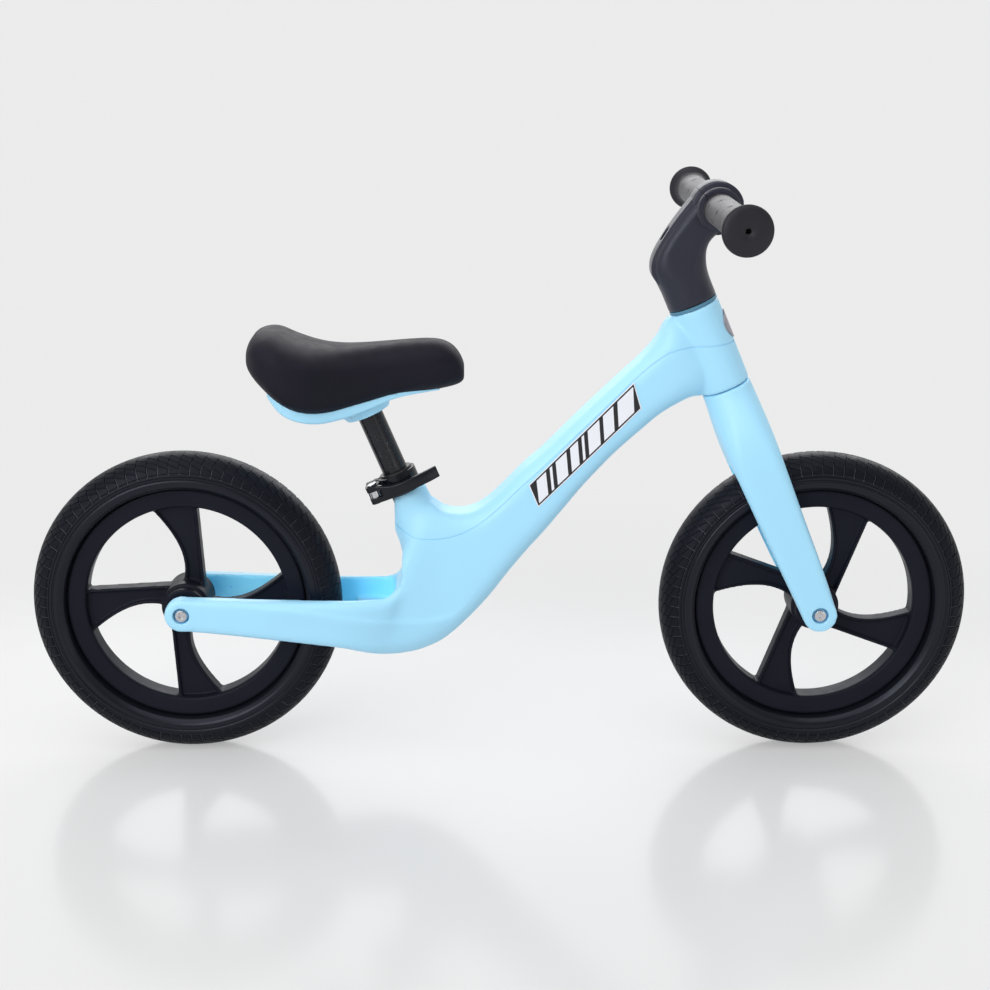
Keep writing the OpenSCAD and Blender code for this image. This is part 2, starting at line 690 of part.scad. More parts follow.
frame();
head_badge();
headset_upper_bushing();
headset_lower_bushing();
headset_collar();
seat_tube_liner();
clamp_collar();
clamp_skewer();
clamp_pin();
clamp_washers();
rear_axle();
rear_axle_bolts();
rear_hub_spacers();
rear_bearing_inner_rings();
frame_decals();
fork();
steerer_tube();
steerer_plug();
stem();
stem_bolt();
handlebar();
bar_clamp_cap();
bar_clamp_screws();
grip_left();
grip_right();
front_axle();
front_axle_bolts();
front_hub_spacers();
front_bearing_inner_rings();
front_rim();
front_tyre();
front_bearing_outer_rings();
front_bearing_balls();
rear_rim();
rear_tyre();
rear_bearing_outer_rings();
rear_bearing_balls();
saddle_cushion();
saddle_base();
seat_post();
seat_post_plug();
saddle_screw();
clamp_lever();
clamp_nut();
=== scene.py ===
import json
import math

import bmesh
import bpy
import numpy as np
from mathutils import Matrix, Vector


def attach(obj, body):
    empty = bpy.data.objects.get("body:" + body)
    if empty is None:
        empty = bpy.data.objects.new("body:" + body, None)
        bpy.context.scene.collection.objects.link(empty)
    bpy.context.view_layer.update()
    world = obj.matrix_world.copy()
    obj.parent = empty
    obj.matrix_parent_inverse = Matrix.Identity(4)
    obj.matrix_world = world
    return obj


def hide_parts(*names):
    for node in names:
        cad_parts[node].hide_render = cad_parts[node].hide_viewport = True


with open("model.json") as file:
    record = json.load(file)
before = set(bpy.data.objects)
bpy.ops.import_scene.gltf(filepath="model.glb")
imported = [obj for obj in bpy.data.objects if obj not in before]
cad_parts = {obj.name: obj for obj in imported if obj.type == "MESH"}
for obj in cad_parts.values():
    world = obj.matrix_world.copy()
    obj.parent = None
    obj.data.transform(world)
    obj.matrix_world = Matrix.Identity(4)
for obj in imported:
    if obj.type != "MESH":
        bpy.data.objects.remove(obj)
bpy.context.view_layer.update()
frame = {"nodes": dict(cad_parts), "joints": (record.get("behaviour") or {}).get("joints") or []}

MM = 0.001
NODES = frame["nodes"]
JOINTS = {j["name"]: j for j in frame["joints"]}


# ---- places, from the frame ----

def joint_place(name):
    return Vector(JOINTS[name]["pos_m"])


FRONT = joint_place("front_wheel_spin")
REAR = joint_place("rear_wheel_spin")
STEER_AXIS = Vector(JOINTS["steering"]["axis"]).normalized()
SEAT_AXIS = Vector(JOINTS["seat_height"]["axis"]).normalized()
WHEEL_R = FRONT.z / MM


def axis_matrix(origin, up):
    """A frame at origin, in millimetres, with z along up and y along +Y."""
    side = Vector((0, 1, 0))
    forward = side.cross(up).normalized()
    turn = Matrix((forward, side, up)).transposed().to_4x4()
    return Matrix.Translation(origin) @ turn @ Matrix.Scale(MM, 4)


SEAT_ORIGIN = Vector((-103.1, 0, 283.7)) * MM
AT_STEERING = axis_matrix(FRONT, STEER_AXIS)
AT_SEAT = axis_matrix(SEAT_ORIGIN, SEAT_AXIS)
AT_ORIGIN = Matrix.Scale(MM, 4)
AT_FRONT = Matrix.Translation(FRONT) @ AT_ORIGIN
AT_REAR = Matrix.Translation(REAR) @ AT_ORIGIN


def unit(value):
    return min(1, max(0, value))


# ---- mesh helpers ----

def placed(name, data):
    obj = bpy.data.objects.new(name, data)
    bpy.context.scene.collection.objects.link(obj)
    return obj


def new_object(name, points, faces, place=AT_ORIGIN):
    mesh = bpy.data.meshes.new(name)
    mesh.from_pydata([place @ Vector(p) for p in points], [], [list(f) for f in faces])
    obj = placed(name, mesh)
    outward(obj)
    return obj


def edit_mesh(obj, change):
    bm = bmesh.new()
    bm.from_mesh(obj.data)
    change(bm)
    bm.to_mesh(obj.data)
    bm.free()


def outward(obj):
    edit_mesh(obj, lambda bm: bmesh.ops.recalc_face_normals(bm, faces=bm.faces))


def copy_of(node, name):
    """A free copy of a CAD node's mesh, for a piece that replaces it."""
    obj = placed(name, NODES[node].data.copy())
    obj.data.materials.clear()
    edit_mesh(obj, lambda bm: bmesh.ops.remove_doubles(bm, verts=bm.verts, dist=1e-6))
    return obj


def settle(obj):
    """Applies the object's modifiers to its mesh."""
    depsgraph = bpy.context.evaluated_depsgraph_get()
    mesh = bpy.data.meshes.new_from_object(obj.evaluated_get(depsgraph), depsgraph=depsgraph)
    obj.modifiers.clear()
    old = obj.data
    obj.data = mesh
    bpy.data.meshes.remove(old)
    return obj


def modify(obj, kind, **settings):
    mod = obj.modifiers.new(kind.lower(), kind)
    for key, value in settings.items():
        setattr(mod, key, value)


def combine(obj, tools, operation):
    for tool in tools:
        modify(obj, "BOOLEAN", operation=operation, object=tool, solver="MANIFOLD")
    settle(obj)
    for tool in tools:
        bpy.data.objects.remove(tool)
    return obj


def cut(obj, *tools):
    return combine(obj, tools, "DIFFERENCE")


def join(obj, *tools):
    return combine(obj, tools, "UNION")


FLAT_ANGLE = 0.6


def remesh(obj, voxel, rounds):
    """Even mesh with soft edges, as on a moulded piece."""
    modify(obj, "REMESH", mode="VOXEL", voxel_size=voxel * MM)
    modify(obj, "SMOOTH", factor=0.5, iterations=rounds)
    return settle(obj)


def bevel(obj, width, angle=30):
    """Merges flat faces, then rounds the edges that are sharper than the angle."""
    modify(obj, "DECIMATE", decimate_type="DISSOLVE", angle_limit=math.radians(FLAT_ANGLE))
    modify(obj, "BEVEL", width=width * MM, segments=2, limit_method="ANGLE",
           angle_limit=math.radians(angle), use_clamp_overlap=True)
    return settle(obj)


def shade(obj, angle=35):
    obj.data.shade_smooth()
    obj.data.set_sharp_from_angle(angle=math.radians(angle))
    return obj


def dress(obj, body, material, nodes=(), angle=35):
    obj.data.materials.clear()
    obj.data.materials.append(material)
    shade(obj, angle)
    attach(obj, body)
    if nodes:
        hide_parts(*nodes)
    return obj


def skin(name, rings, place=AT_ORIGIN):
    """A closed skin over rings of equal length."""
    count = len(rings[0])
    points = [p for ring in rings for p in ring]
    faces = ring_faces(len(rings), count, count)[:-count]
    faces.append(range(count))
    faces.append(range(len(points) - 1, len(points) - count - 1, -1))
    return new_object(name, points, faces, place)


def ring_faces(total, count, rows):
    """Quads over this many rows of rings of equal length, the last ring joined to the first."""
    return [(s * count + k, (s + 1) % total * count + k, (s + 1) % total * count + (k + 1) % count,
             s * count + (k + 1) % count) for s in range(total) for k in range(rows)]


def revolve(name, profile, place, steps=96, axis="z", closed=True):
    """Turns [radius, height] points round an axis. An open profile starts and ends on the axis."""
    points = []
    count = len(profile)
    for s in range(steps):
        angle = 2 * math.pi * s / steps
        for radius, height in profile:
            x, y = radius * math.cos(angle), radius * math.sin(angle)
            points.append((x, y, height) if axis == "z" else (x, height, y))
    faces = ring_faces(steps, count, count if closed else count - 1)
    if not closed:
        faces.append([s * count for s in range(steps)])
        faces.append([s * count + count - 1 for s in range(steps)])
    return new_object(name, points, faces, place)


def rod(name, low, high, radius, place, axis="z", steps=64):
    return revolve(name, [(radius, low), (radius, high)], place, steps, axis, closed=False)


def block(name, low, high, place):
    x, y, z = zip(low, high)
    points = [(x[i], y[j], z[k]) for i in (0, 1) for j in (0, 1) for k in (0, 1)]
    faces = [(0, 1, 3, 2), (4, 6, 7, 5), (0, 4, 5, 1), (2, 3, 7, 6), (0, 2, 6, 4), (1, 5, 7, 3)]
    return new_object(name, points, faces, place)


def prism(name, outline, low, high, place, axis="y"):
    """An outline extruded along an axis; its points hold the other two coordinates in order."""
    count = len(outline)
    at = "xyz".index(axis)
    points = [(*p[:at], level, *p[at:]) for level in (low, high) for p in outline]
    faces = [(i, (i + 1) % count, count + (i + 1) % count, count + i) for i in range(count)]
    faces += [range(count), range(2 * count - 1, count - 1, -1)]
    return new_object(name, points, faces, place)


def curve_value(rows, k, t):
    """Catmull-Rom value between rows k and k + 1."""
    last = len(rows) - 1
    p0, p1, p2, p3 = (rows[min(max(k + d, 0), last)] for d in (-1, 0, 1, 2))
    return 0.5 * (2 * p1 + (p2 - p0) * t + (2 * p0 - 5 * p1 + 4 * p2 - p3) * t * t
                  + (3 * p1 - p0 - 3 * p2 + p3) * t ** 3)


def smooth_rows(rows, steps):
    rows = np.array(rows, float)
    out = [curve_value(rows, k, j / steps) for k in range(len(rows) - 1) for j in range(steps)]
    return out + [rows[-1]]


def arc(x, y, radius, degrees):
    return [(x + radius * math.cos(t), y + radius * math.sin(t)) for t in np.radians(degrees)]


def direction(rows, k):
    """The way along the rows at row k, not scaled."""
    return rows[min(k + 1, len(rows) - 1)] - rows[max(k - 1, 0)]


def rounded_ring(centre, u, v, a, b, ra, rb, corner=10):
    """A rounded rectangle: half sizes a along u and b along v, corner radii ra and rb."""
    ring = []
    for quarter in range(4):
        su = 1 if quarter in (0, 3) else -1
        sv = 1 if quarter < 2 else -1
        for j in range(corner + 1):
            t = math.radians(90 * quarter + 90 * j / corner)
            along = u * (su * (a - ra) + ra * math.cos(t))
            ring.append(centre + along + v * (sv * (b - rb) + rb * math.sin(t)))
    return ring


# ---- materials ----

def principled(name, colour, rough, **sockets):
    mat = bpy.data.materials.new(name)
    mat.use_nodes = True
    shader = mat.node_tree.nodes["Principled BSDF"]
    shader.inputs["Base Color"].default_value = (*colour, 1)
    shader.inputs["Roughness"].default_value = rough
    for key, value in sockets.items():
        shader.inputs[key.replace("_", " ")].default_value = value
    return mat, shader


def noise(mat, scale, detail=3, stretch=(1, 1, 1)):
    nodes, links = mat.node_tree.nodes, mat.node_tree.links
    place = nodes.new("ShaderNodeTexCoord")
    mapping = nodes.new("ShaderNodeMapping")
    mapping.inputs["Scale"].default_value = stretch
    texture = nodes.new("ShaderNodeTexNoise")
    texture.inputs["Scale"].default_value = scale
    texture.inputs["Detail"].default_value = detail
    links.new(place.outputs["Object"], mapping.inputs["Vector"])
    links.new(mapping.outputs["Vector"], texture.inputs["Vector"])
    return texture.outputs["Fac"]


def ramp(mat, source, low, high, out_low, out_high):
    """A straight change of value between two levels, held outside them."""
    node = mat.node_tree.nodes.new("ShaderNodeMapRange")
    levels = {"From Min": low, "From Max": high, "To Min": out_low, "To Max": out_high}
    for key, value in levels.items():
        node.inputs[key].default_value = value
    mat.node_tree.links.new(source, node.inputs["Value"])
    return node.outputs["Result"]


def tint(mat, shader, factor, first, second):
    node = mat.node_tree.nodes.new("ShaderNodeMix")
    node.data_type = "RGBA"
    node.inputs["A"].default_value = (*first, 1)
    node.inputs["B"].default_value = (*second, 1)
    mat.node_tree.links.new(factor, node.inputs["Factor"])
    mat.node_tree.links.new(node.outputs["Result"], shader.inputs["Base Color"])
    return node


def bump(mat, shader, height, strength, distance):
    node = mat.node_tree.nodes.new("ShaderNodeBump")
    node.inputs["Strength"].default_value = strength
    node.inputs["Distance"].default_value = distance * MM
    mat.node_tree.links.new(height, node.inputs["Height"])
    mat.node_tree.links.new(node.outputs["Normal"], shader.inputs["Normal"])
    return node


def grained(name, colour, shade_of, rough, spread, grain_scale, grain_depth, **sockets):
    """A surface with a fine grain: colour and roughness drift a little, and the grain is raised."""
    mat, shader = principled(name, colour, rough, **sockets)
    drift = noise(mat, 14, 4)
    second = tuple(c * shade_of for c in colour)
    tint(mat, shader, ramp(mat, drift, 0.35, 0.65, 0, 1), colour, second)
    mat.node_tree.links.new(ramp(mat, noise(mat, 90, 3), 0.3, 0.7, rough - spread, rough + spread),
                            shader.inputs["Roughness"])
    bump(mat, shader, noise(mat, grain_scale, 2), 0.6, grain_depth)
    return mat


def colour_where_marked(mat, attribute, colour):
    """Takes another base colour where the mesh carries the attribute, which it gives back."""
    nodes, links = mat.node_tree.nodes, mat.node_tree.links
    shader = nodes["Principled BSDF"]
    mark = nodes.new("ShaderNodeAttribute")
    mark.attribute_name = attribute
    base = shader.inputs["Base Color"].links[0].from_socket
    blend = nodes.new("ShaderNodeMix")
    blend.data_type = "RGBA"
    blend.inputs["B"].default_value = (*colour, 1)
    links.new(base, blend.inputs["A"])
    links.new(mark.outputs["Fac"], blend.inputs["Factor"])
    links.new(blend.outputs["Result"], shader.inputs["Base Color"])
    return mark.outputs["Fac"]


def paint_bounce_light(mat):
    """Painted bounce light: walls that face each other take a deeper blue and a faint blue glow, for light
    bouncing between them.
    """
    inner = colour_where_marked(mat, "painted_bounce_wall", BOUNCE_BLUE)
    shader = mat.node_tree.nodes["Principled BSDF"]
    shader.inputs["Emission Color"].default_value = BOUNCE_GLOW_BLUE
    mat.node_tree.links.new(inner, shader.inputs["Emission Strength"])
    return mat


BLUE = (0.385, 0.74, 0.965)
# Painted bounce light for walls that face each other across a wheel: a deeper blue and a faint blue glow.
BOUNCE_BLUE = (0.32, 0.82, 1.0)
BOUNCE_GLOW_BLUE = (0.0, 0.10, 0.24, 1)
# The frame's blue darkened for the headset collar: painted shade for the shadowed gap under the stem.
SHADED_COLLAR_BLUE = (0.075, 0.22, 0.33)
WHEEL_BLACK = (0.0094, 0.0101, 0.0164)
STEM_BLACK = (0.016, 0.0165, 0.027)
RUBBER_BLACK = (0.0052, 0.0056, 0.0092)
# Painted highlight: a lighter grey for thin lines along the tread's cross grooves and the rib's edge.
PAINTED_GLINT_GREY = (0.17, 0.17, 0.19)
GRIP_BLACK = (0.016, 0.0150, 0.0208)
SADDLE_BLACK = (0.0088, 0.0084, 0.0145)
CLAMP_BLACK = (0.0055, 0.006, 0.010)
POST_BLACK, POST_SPECK = (0.007, 0.0075, 0.011), (0.14, 0.14, 0.16)
BADGE_GREY, BADGE_DARK = (0.34, 0.33, 0.37), (0.26, 0.25, 0.29)
FILM_BLACK, FILM_WHITE = (0.006, 0.006, 0.009), (0.80, 0.82, 0.88)

# Tints of the highlights
COOL = (0.80, 0.84, 1.0, 1)
SADDLE_TINT = (0.92, 0.88, 1.0, 1)
GRIP_TINT = (0.95, 0.93, 1.0, 1)


# The blue plastic, with painted bounce light on the walls that face each other across a wheel.
blue_plastic = paint_bounce_light(grained("sky_blue_plastic", BLUE, 0.985, 0.42, 0.03, 2600, 0.012,
                                   Specular_IOR_Level=0.42))
# Painted shade: the collar takes a darkened copy of the frame's blue.
shaded_collar = grained("shaded_collar_blue", SHADED_COLLAR_BLUE, 0.96, 0.45, 0.03, 2600, 0.012)
black_plastic = grained("black_wheel_plastic", WHEEL_BLACK, 0.85, 0.42, 0.05, 2400, 0.02,
                        Specular_IOR_Level=0.12, Specular_Tint=COOL)
stem_plastic = grained("black_stem_plastic", STEM_BLACK, 0.9, 0.46, 0.05, 2000, 0.03,
                       Specular_IOR_Level=0.45, Specular_Tint=COOL, Sheen_Weight=0.18, Sheen_Roughness=0.4)
bushing_plastic = grained("bushing_plastic", (0.02, 0.02, 0.022), 0.92, 0.4, 0.04, 2000, 0.01)
tyre_rubber = grained("tyre_rubber", RUBBER_BLACK, 0.85, 0.46, 0.07, 1500, 0.03,
                      Specular_IOR_Level=0.15, Specular_Tint=COOL)
# The tyre takes painted highlight lines along its cross grooves and its rib's edge.
colour_where_marked(tyre_rubber, "painted_glint_line", PAINTED_GLINT_GREY)
sidewall_rubber = grained("sidewall_rubber", RUBBER_BLACK, 0.9, 0.32, 0.04, 1500, 0.01,
                          Specular_IOR_Level=0.3, Specular_Tint=COOL)
grip_rubber = grained("grip_rubber", GRIP_BLACK, 0.7, 0.48, 0.06, 1500, 0.05,
                      Specular_IOR_Level=0.30, Specular_Tint=GRIP_TINT,
                      Sheen_Weight=0.12, Sheen_Roughness=0.35)
saddle_skin = grained("saddle_skin", SADDLE_BLACK, 0.85, 0.6, 0.05, 1700, 0.03,
                      Specular_IOR_Level=0.16, Specular_Tint=SADDLE_TINT)
clamp_black = grained("clamp_black", CLAMP_BLACK, 0.9, 0.24, 0.05, 900, 0.01, Specular_IOR_Level=0.28)
black_steel = grained("black_steel", (0.012, 0.012, 0.013), 0.9, 0.4, 0.05, 900, 0.01)
steel = grained("zinc_steel", (0.62, 0.62, 0.64), 0.92, 0.3, 0.07, 700, 0.01, Metallic=1.0)
axle_dark = grained("dark_steel", (0.2, 0.2, 0.21), 0.9, 0.35, 0.06, 700, 0.01, Metallic=1.0)


def speckled_post():
    """Gloss black paint with fine metal specks."""
    mat, shader = principled("post_paint", POST_BLACK, 0.16, Specular_IOR_Level=0.32)
    specks = noise(mat, 900, 2)
    tint(mat, shader, ramp(mat, specks, 0.66, 0.74, 0, 1), POST_BLACK, POST_SPECK)
    mat.node_tree.links.new(ramp(mat, specks, 0.6, 0.75, 0.2, 0.45), shader.inputs["Roughness"])
    bump(mat, shader, noise(mat, 350, 2), 0.25, 0.05)
    return mat


def brushed_badge():
    mat, shader = principled("badge_metal", BADGE_GREY, 0.38, Metallic=0.7)
    lines = noise(mat, 420, 3, stretch=(1, 14, 1))
    tint(mat, shader, ramp(mat, lines, 0.35, 0.65, 0, 1), BADGE_GREY, BADGE_DARK)
    bump(mat, shader, lines, 0.3, 0.02)
    return mat


post_paint = speckled_post()
badge_metal = brushed_badge()


# ---- frame and fork ----

# Sections of the frame from the head tube back to the stay ends, in millimetres:
# top x, top z, bottom x, bottom z, half width, corner size along the section, corner size across.
FRAME_STATIONS = [
    (166, 427, 203, 367, 17, 30, 16), (152.6, 423.8, 190, 352.5, 22, 32, 20),
    (143.5, 406.5, 176, 350.5, 24, 24, 18), (130, 389.5, 163, 344.5, 24.5, 19, 16),
    (113.5, 373, 147.5, 335.5, 25, 17, 14), (95.5, 355.5, 131, 321.5, 25, 16, 13),
    (67.5, 328, 105, 297.5, 25, 16, 13), (39.5, 299.5, 78, 268, 25, 16, 13),
    (20.5, 282.5, 59, 244.5, 25, 16, 13), (2.5, 264, 41.5, 222.5, 25.3, 17, 14),
    (-12.5, 250, 25.5, 204, 25.8, 18, 15), (-27.5, 241, 7, 181, 26.3, 19, 16),
    (-42, 239, -11, 157, 26.8, 20, 17), (-56, 242, -31, 134.5, 27.3, 20, 18),
    (-69, 250.5, -54, 113, 27, 24, 19), (-81, 238, -75, 103.5, 29, 22, 18),
    (-93, 206, -92, 100.5, 31.5, 20, 17), (-93.7, 186, -107, 100.5, 34, 18, 15),
    (-97.5, 170.5, -121, 103, 37.5, 14, 12), (-110, 162, -135, 107.5, 41, 11, 9),
    (-136, 160, -153, 113, 44.5, 9, 7), (-178, 160, -184, 118, 46.5, 8, 6),
    (-222, 161, -224, 123.5, 47.4, 7, 5), (-264, 162.5, -265, 128.5, 48, 7, 4.5),
    (-301, 163.8, -301, 132.2, 48.3, 7, 4)]

HEAD_BOTTOM, HEAD_TOP, HEAD_R, HEAD_BORE_R = 231, 313, 23.3, 17
NECK_CORE_LOW, NECK_TOP, NECK_CORE_R, POST_BORE_R = -112, -9.5, 15.6, 13.6
GAP_HALF, DROP_HALF, DROP_R = 33.5, 48.3, 16
STEERER_BORE_R = 12.75
AXLE_HOLE_R, AXLE_END = 4.05, 39.5
HUB_SIDE = Vector((0, -1, 0))

# Room for the rear wheel between the stays: the slot's end, corners and floor, and the tyre's room.
SLOT_END, SLOT_CORNER, SLOT_FLOOR, TYRE_ROOM_R = -101, 16, 139, 161
FAR_REAR, STAY_END, FAR_LOW, FAR_TOP = -460, -300, 40, 260


def frame_ring(row):
    top, low = Vector((row[0], 0, row[1])), Vector((row[2], 0, row[3]))
    half = (low - top).length / 2
    along = (low - top).normalized()
    return rounded_ring((top + low) / 2, along, HUB_SIDE, half, row[4],
                        min(row[5], 0.97 * half), min(row[6], 0.97 * row[4]))


def stay_gap_tools():
    corner = arc(SLOT_END - SLOT_CORNER, GAP_HALF - SLOT_CORNER, SLOT_CORNER, range(90, -1, -6))
    near = [(FAR_REAR, GAP_HALF)] + corner
    outline = near + [(x, -y) for x, y in reversed(near)]
    slot = prism("tool_slot", outline, SLOT_FLOOR, FAR_TOP, AT_ORIGIN, "z")
    lower = rod("tool_tyre_room", -GAP_HALF, GAP_HALF, TYRE_ROOM_R, AT_REAR, "y", 128)
    rear = block("tool_rear", (FAR_REAR, -GAP_HALF, FAR_LOW), (STAY_END, GAP_HALF, FAR_TOP), AT_ORIGIN)
    return slot, lower, rear


# The bolt's recess: its radius and depth, the raised pad under the bolt's head, and the bolt's hole.
BOLT_ROOM_R, BOLT_ROOM_DEEP, PAD_R, PAD_DEEP, BOLT_HOLE_R, BOLT_HOLE_END = 7.8, 8, 5.9, 4.0, 2.6, 20


def bolt_room(side, place):
    """A round recess with a broken edge, with the bolt's hole behind it."""
    face, floor, rim = DROP_HALF, DROP_HALF - BOLT_ROOM_DEEP, BOLT_ROOM_R
    profile = [(BOLT_HOLE_R, BOLT_HOLE_END), (BOLT_HOLE_R, face - PAD_DEEP), (PAD_R, face - PAD_DEEP),
               (PAD_R + 0.1, floor), (rim - 0.5, floor), (rim, floor + 0.5), (rim, face - 0.7),
               (rim + 0.35, face - 0.25), (rim + 1.1, face + 0.3), (rim + 1.1, face + 4)]
    return revolve("tool_bolt", [(r, side * y) for r, y in profile], place, 72, "y", closed=False)


def both_sides(name, low, high, radius, place, steps=64):
    """The same rod on each side of a wheel."""
    return [rod(name, *ends, radius, place, "y", steps) for ends in ((low, high), (-high, -low))]


def axle_cuts(place):
    holes = both_sides("tool_axle", GAP_HALF - 1, AXLE_END, AXLE_HOLE_R, place, 32)
    return [bolt_room(1, place), bolt_room(-1, place)] + holes


# Sections of the seat tube in the seat frame: height, rear, front, half width.
NECK_STATIONS = [
    (-28, -20.6, 20.6, 20.6), (-40, -21.5, 21, 20.9), (-50, -22.7, 22, 21.4), (-62, -23.6, 24, 22.2),
    (-74, -24.4, 27, 23.2), (-86, -26.7, 30, 24.2), (-96, -29, 31, 24.8)]


def build_neck():
    rings = [rounded_ring(Vector(((rear + front) / 2, 0, s)), Vector((1, 0, 0)), Vector((0, 1, 0)),
                          (front - rear) / 2, half, 0.49 * (front - rear), 0.98 * half)
             for s, rear, front, half in smooth_rows(NECK_STATIONS, 4)]
    return skin("tool_tube", rings, AT_SEAT)


# Where the seat tube runs into the down tube, and how far and how much the skin is smoothed there.
NECK_ROOT, NECK_ROOT_SIDE, NECK_INNER, NECK_OUTER, NECK_ROUNDS = (-82, 212), 25, 34, 66, 160


def smooth_near(obj, centre, inner, outer, rounds):
    """Smooths side-facing skin: fully within the inner distance of the centre, not beyond the outer one."""
    group = obj.vertex_groups.new(name="soft")
    for vert in obj.data.vertices:
        reach = (outer - (vert.co / MM - centre).length) / (outer - inner)
        value = unit(reach) * unit((abs(vert.normal.y) - 0.25) / 0.3)
        if value > 0:
            group.add([vert.index], value, "REPLACE")
    mod = obj.modifiers.new("blend", "SMOOTH")
    mod.factor = 0.5
    mod.iterations = rounds
    mod.vertex_group = "soft"
    settle(obj)
    obj.vertex_groups.clear()
    return obj


# A soft edge along each stay, under which the side falls back a little: x, z in millimetres.
STAY_EDGE = [(-240, 158.3), (-206, 156.5), (-172, 152), (-145.5, 147), (-119, 142.5), (-92.3, 139.2),
             (-74.4, 138.8), (-56.4, 140.9), (-47.3, 144), (-40.2, 149.5), (-33, 159.7)]
EDGE_DEPTH, EDGE_WIDTH, EDGE_FADE, EDGE_LIP = 1.3, 4.5, 34, 0.2

# The line where the two mould halves of the frame meet, on both sides: x, z in millimetres.
SEAM = [(-112, 236), (-99.5, 227.1), (-91, 222.2), (-76.9, 217.8), (-58.1, 217.8), (-39.2, 222.2),
        (-20.4, 232), (-1.6, 247.7), (17, 266.2), (35.6, 283.7), (54, 302), (72.3, 320.2), (90.6, 338.3),
        (108.7, 356.3), (126.7, 374.2), (144.7, 389.2), (155.5, 395.7), (171.9, 399.5), (190.2, 400.9),
        (204, 402.3), (214, 404.2)]
SEAM_WIDTH, SEAM_DEPTH = 0.95, 0.6


def line_offset(x, z, line):
    """How far a point lies below a line of (x, z) points, and how far from the line's ends along it."""
    best = None
    length = 0
    for (ax, az), (bx, bz) in zip(line, line[1:]):
        dx, dz = bx - ax, bz - az
        size = math.hypot(dx, dz)
        t = min(1, max(0, ((x - ax) * dx + (z - az) * dz) / size ** 2))
        gap = math.hypot(x - ax - t * dx, z - az - t * dz)
        below = ((x - ax) * dz - (z - az) * dx) / size
        if best is None or gap < best[0]:
            best = (gap, math.copysign(gap, below), length + t * size)
        length += size
    return best[1], min(best[2], length - best[2])


def crease_stays(obj):
    """Lets the side fall back a little under the edge line of each stay."""
    for vert in obj.data.vertices:
        x, y, z = vert.co / MM
        facing = vert.normal.y * math.copysign(1, y)
        if facing < 0.15 or not -245 < x < -25 or not 95 < z < 175:
            continue
        below, reach = line_offset(x, z, STAY_EDGE)
        fade = min(1, reach / EDGE_FADE)
        if below > 0:
            shift = -EDGE_DEPTH * (below / EDGE_WIDTH) * math.exp(1 - below / EDGE_WIDTH)
        else:
            shift = EDGE_LIP * math.exp(-(below / 3) ** 2)
        vert.co.y += math.copysign(shift * fade * min(1, facing * 2) * MM, y)
    obj.data.update()
    return obj


def cut_seam(obj):
    """A fine groove along the mould line, following the surface."""
    line = [Vector((p[0], p[1])) for p in smooth_rows(SEAM, 3)]
    left, right = [], []
    for k, point in enumerate(line):
        along = direction(line, k).normalized()
        side = Vector((-along.y, along.x)) * SEAM_WIDTH / 2
        left.append(tuple(point + side))
        right.append(tuple(point - side))
    curtain = prism("tool_seam", left + right[::-1], -60, 60, AT_ORIGIN)
    core = obj.copy()
    core.data = obj.data.copy()
    bpy.context.scene.collection.objects.link(core)
    for vert, source in zip(core.data.vertices, obj.data.vertices):
        vert.co = source.co - source.normal * SEAM_DEPTH * MM
    cut(curtain, core)
    return cut(obj, curtain)


def mark_inner_walls(obj, inside):
    """Marks the walls that face each other across the wheel, which take painted bounce light."""
    layer = obj.data.attributes.new("painted_bounce_wall", "FLOAT", "POINT")
    for vert in obj.data.vertices:
        x, y, z = vert.co / MM
        inward = -vert.normal.y * math.copysign(1, y)
        value = 0
        if abs(y) < GAP_HALF + 2.5 and inside(x, z):
            value = unit((max(inward, -vert.normal.x * 0.35) - 0.2) / 0.5)
        layer.data[vert.index].value = value
    return obj


VENT_PLACE, VENT_R = (-265, 0, 150), 0.9


def build_frame():
    rings = [frame_ring(row) for row in smooth_rows(FRAME_STATIONS, 6)]
    body = skin("frame_body", rings)
    join(body,
         rod("tool_head", HEAD_BOTTOM, HEAD_TOP, HEAD_R, AT_STEERING),
         build_neck(),
         rod("tool_neck", NECK_CORE_LOW, NECK_TOP, NECK_CORE_R, AT_SEAT),
         *both_sides("tool_drop", GAP_HALF, DROP_HALF, DROP_R, AT_REAR))
    cut(body, *stay_gap_tools())
    remesh(body, 1.8, 8)
    for side in (-NECK_ROOT_SIDE, NECK_ROOT_SIDE):
        root = Vector((NECK_ROOT[0], side, NECK_ROOT[1]))
        smooth_near(body, root, NECK_INNER, NECK_OUTER, NECK_ROUNDS)
    crease_stays(body)
    cut_seam(body)
    cut(body,
        rod("tool_head_bore", HEAD_BOTTOM - 10, HEAD_TOP + 5, HEAD_BORE_R, AT_STEERING),
        rod("tool_seat_bore", -158, 20, POST_BORE_R, AT_SEAT),
        block("tool_slit", (-24, -1.2, -28), (-8, 1.2, 10), AT_SEAT),
        *axle_cuts(AT_REAR),
        rod("tool_vent", GAP_HALF - 3, GAP_HALF + 3, VENT_R, AT_ORIGIN @ Matrix.Translation(VENT_PLACE),
            "y", 16))
    return mark_inner_walls(body, lambda x, z: x < -97 and z < 166)


# Sections of the fork from the axle up to the crown, in the steering frame:
# height, centre, half depth, half width, corner sizes.
FORK_STATIONS = [
    (0, 0, 16, 48.3, 5, 5), (25, 0.3, 17.4, 48.2, 6, 5), (55, 0, 19, 48, 7, 6),
    (95, -0.6, 20.6, 47.6, 8, 7), (135, -0.9, 22.2, 47, 10, 8), (165, -0.9, 23.4, 46, 12, 12),
    (185, -0.6, 23.9, 43, 16, 20), (203, -0.3, 23.9, 36.5, 20, 26), (217, 0, 23.6, 28.5, 22.5, 26),
    (226, 0, 23.3, 24, 22.7, 23.3), (230.4, 0, 23.2, 23.2, 22.6, 22.6)]

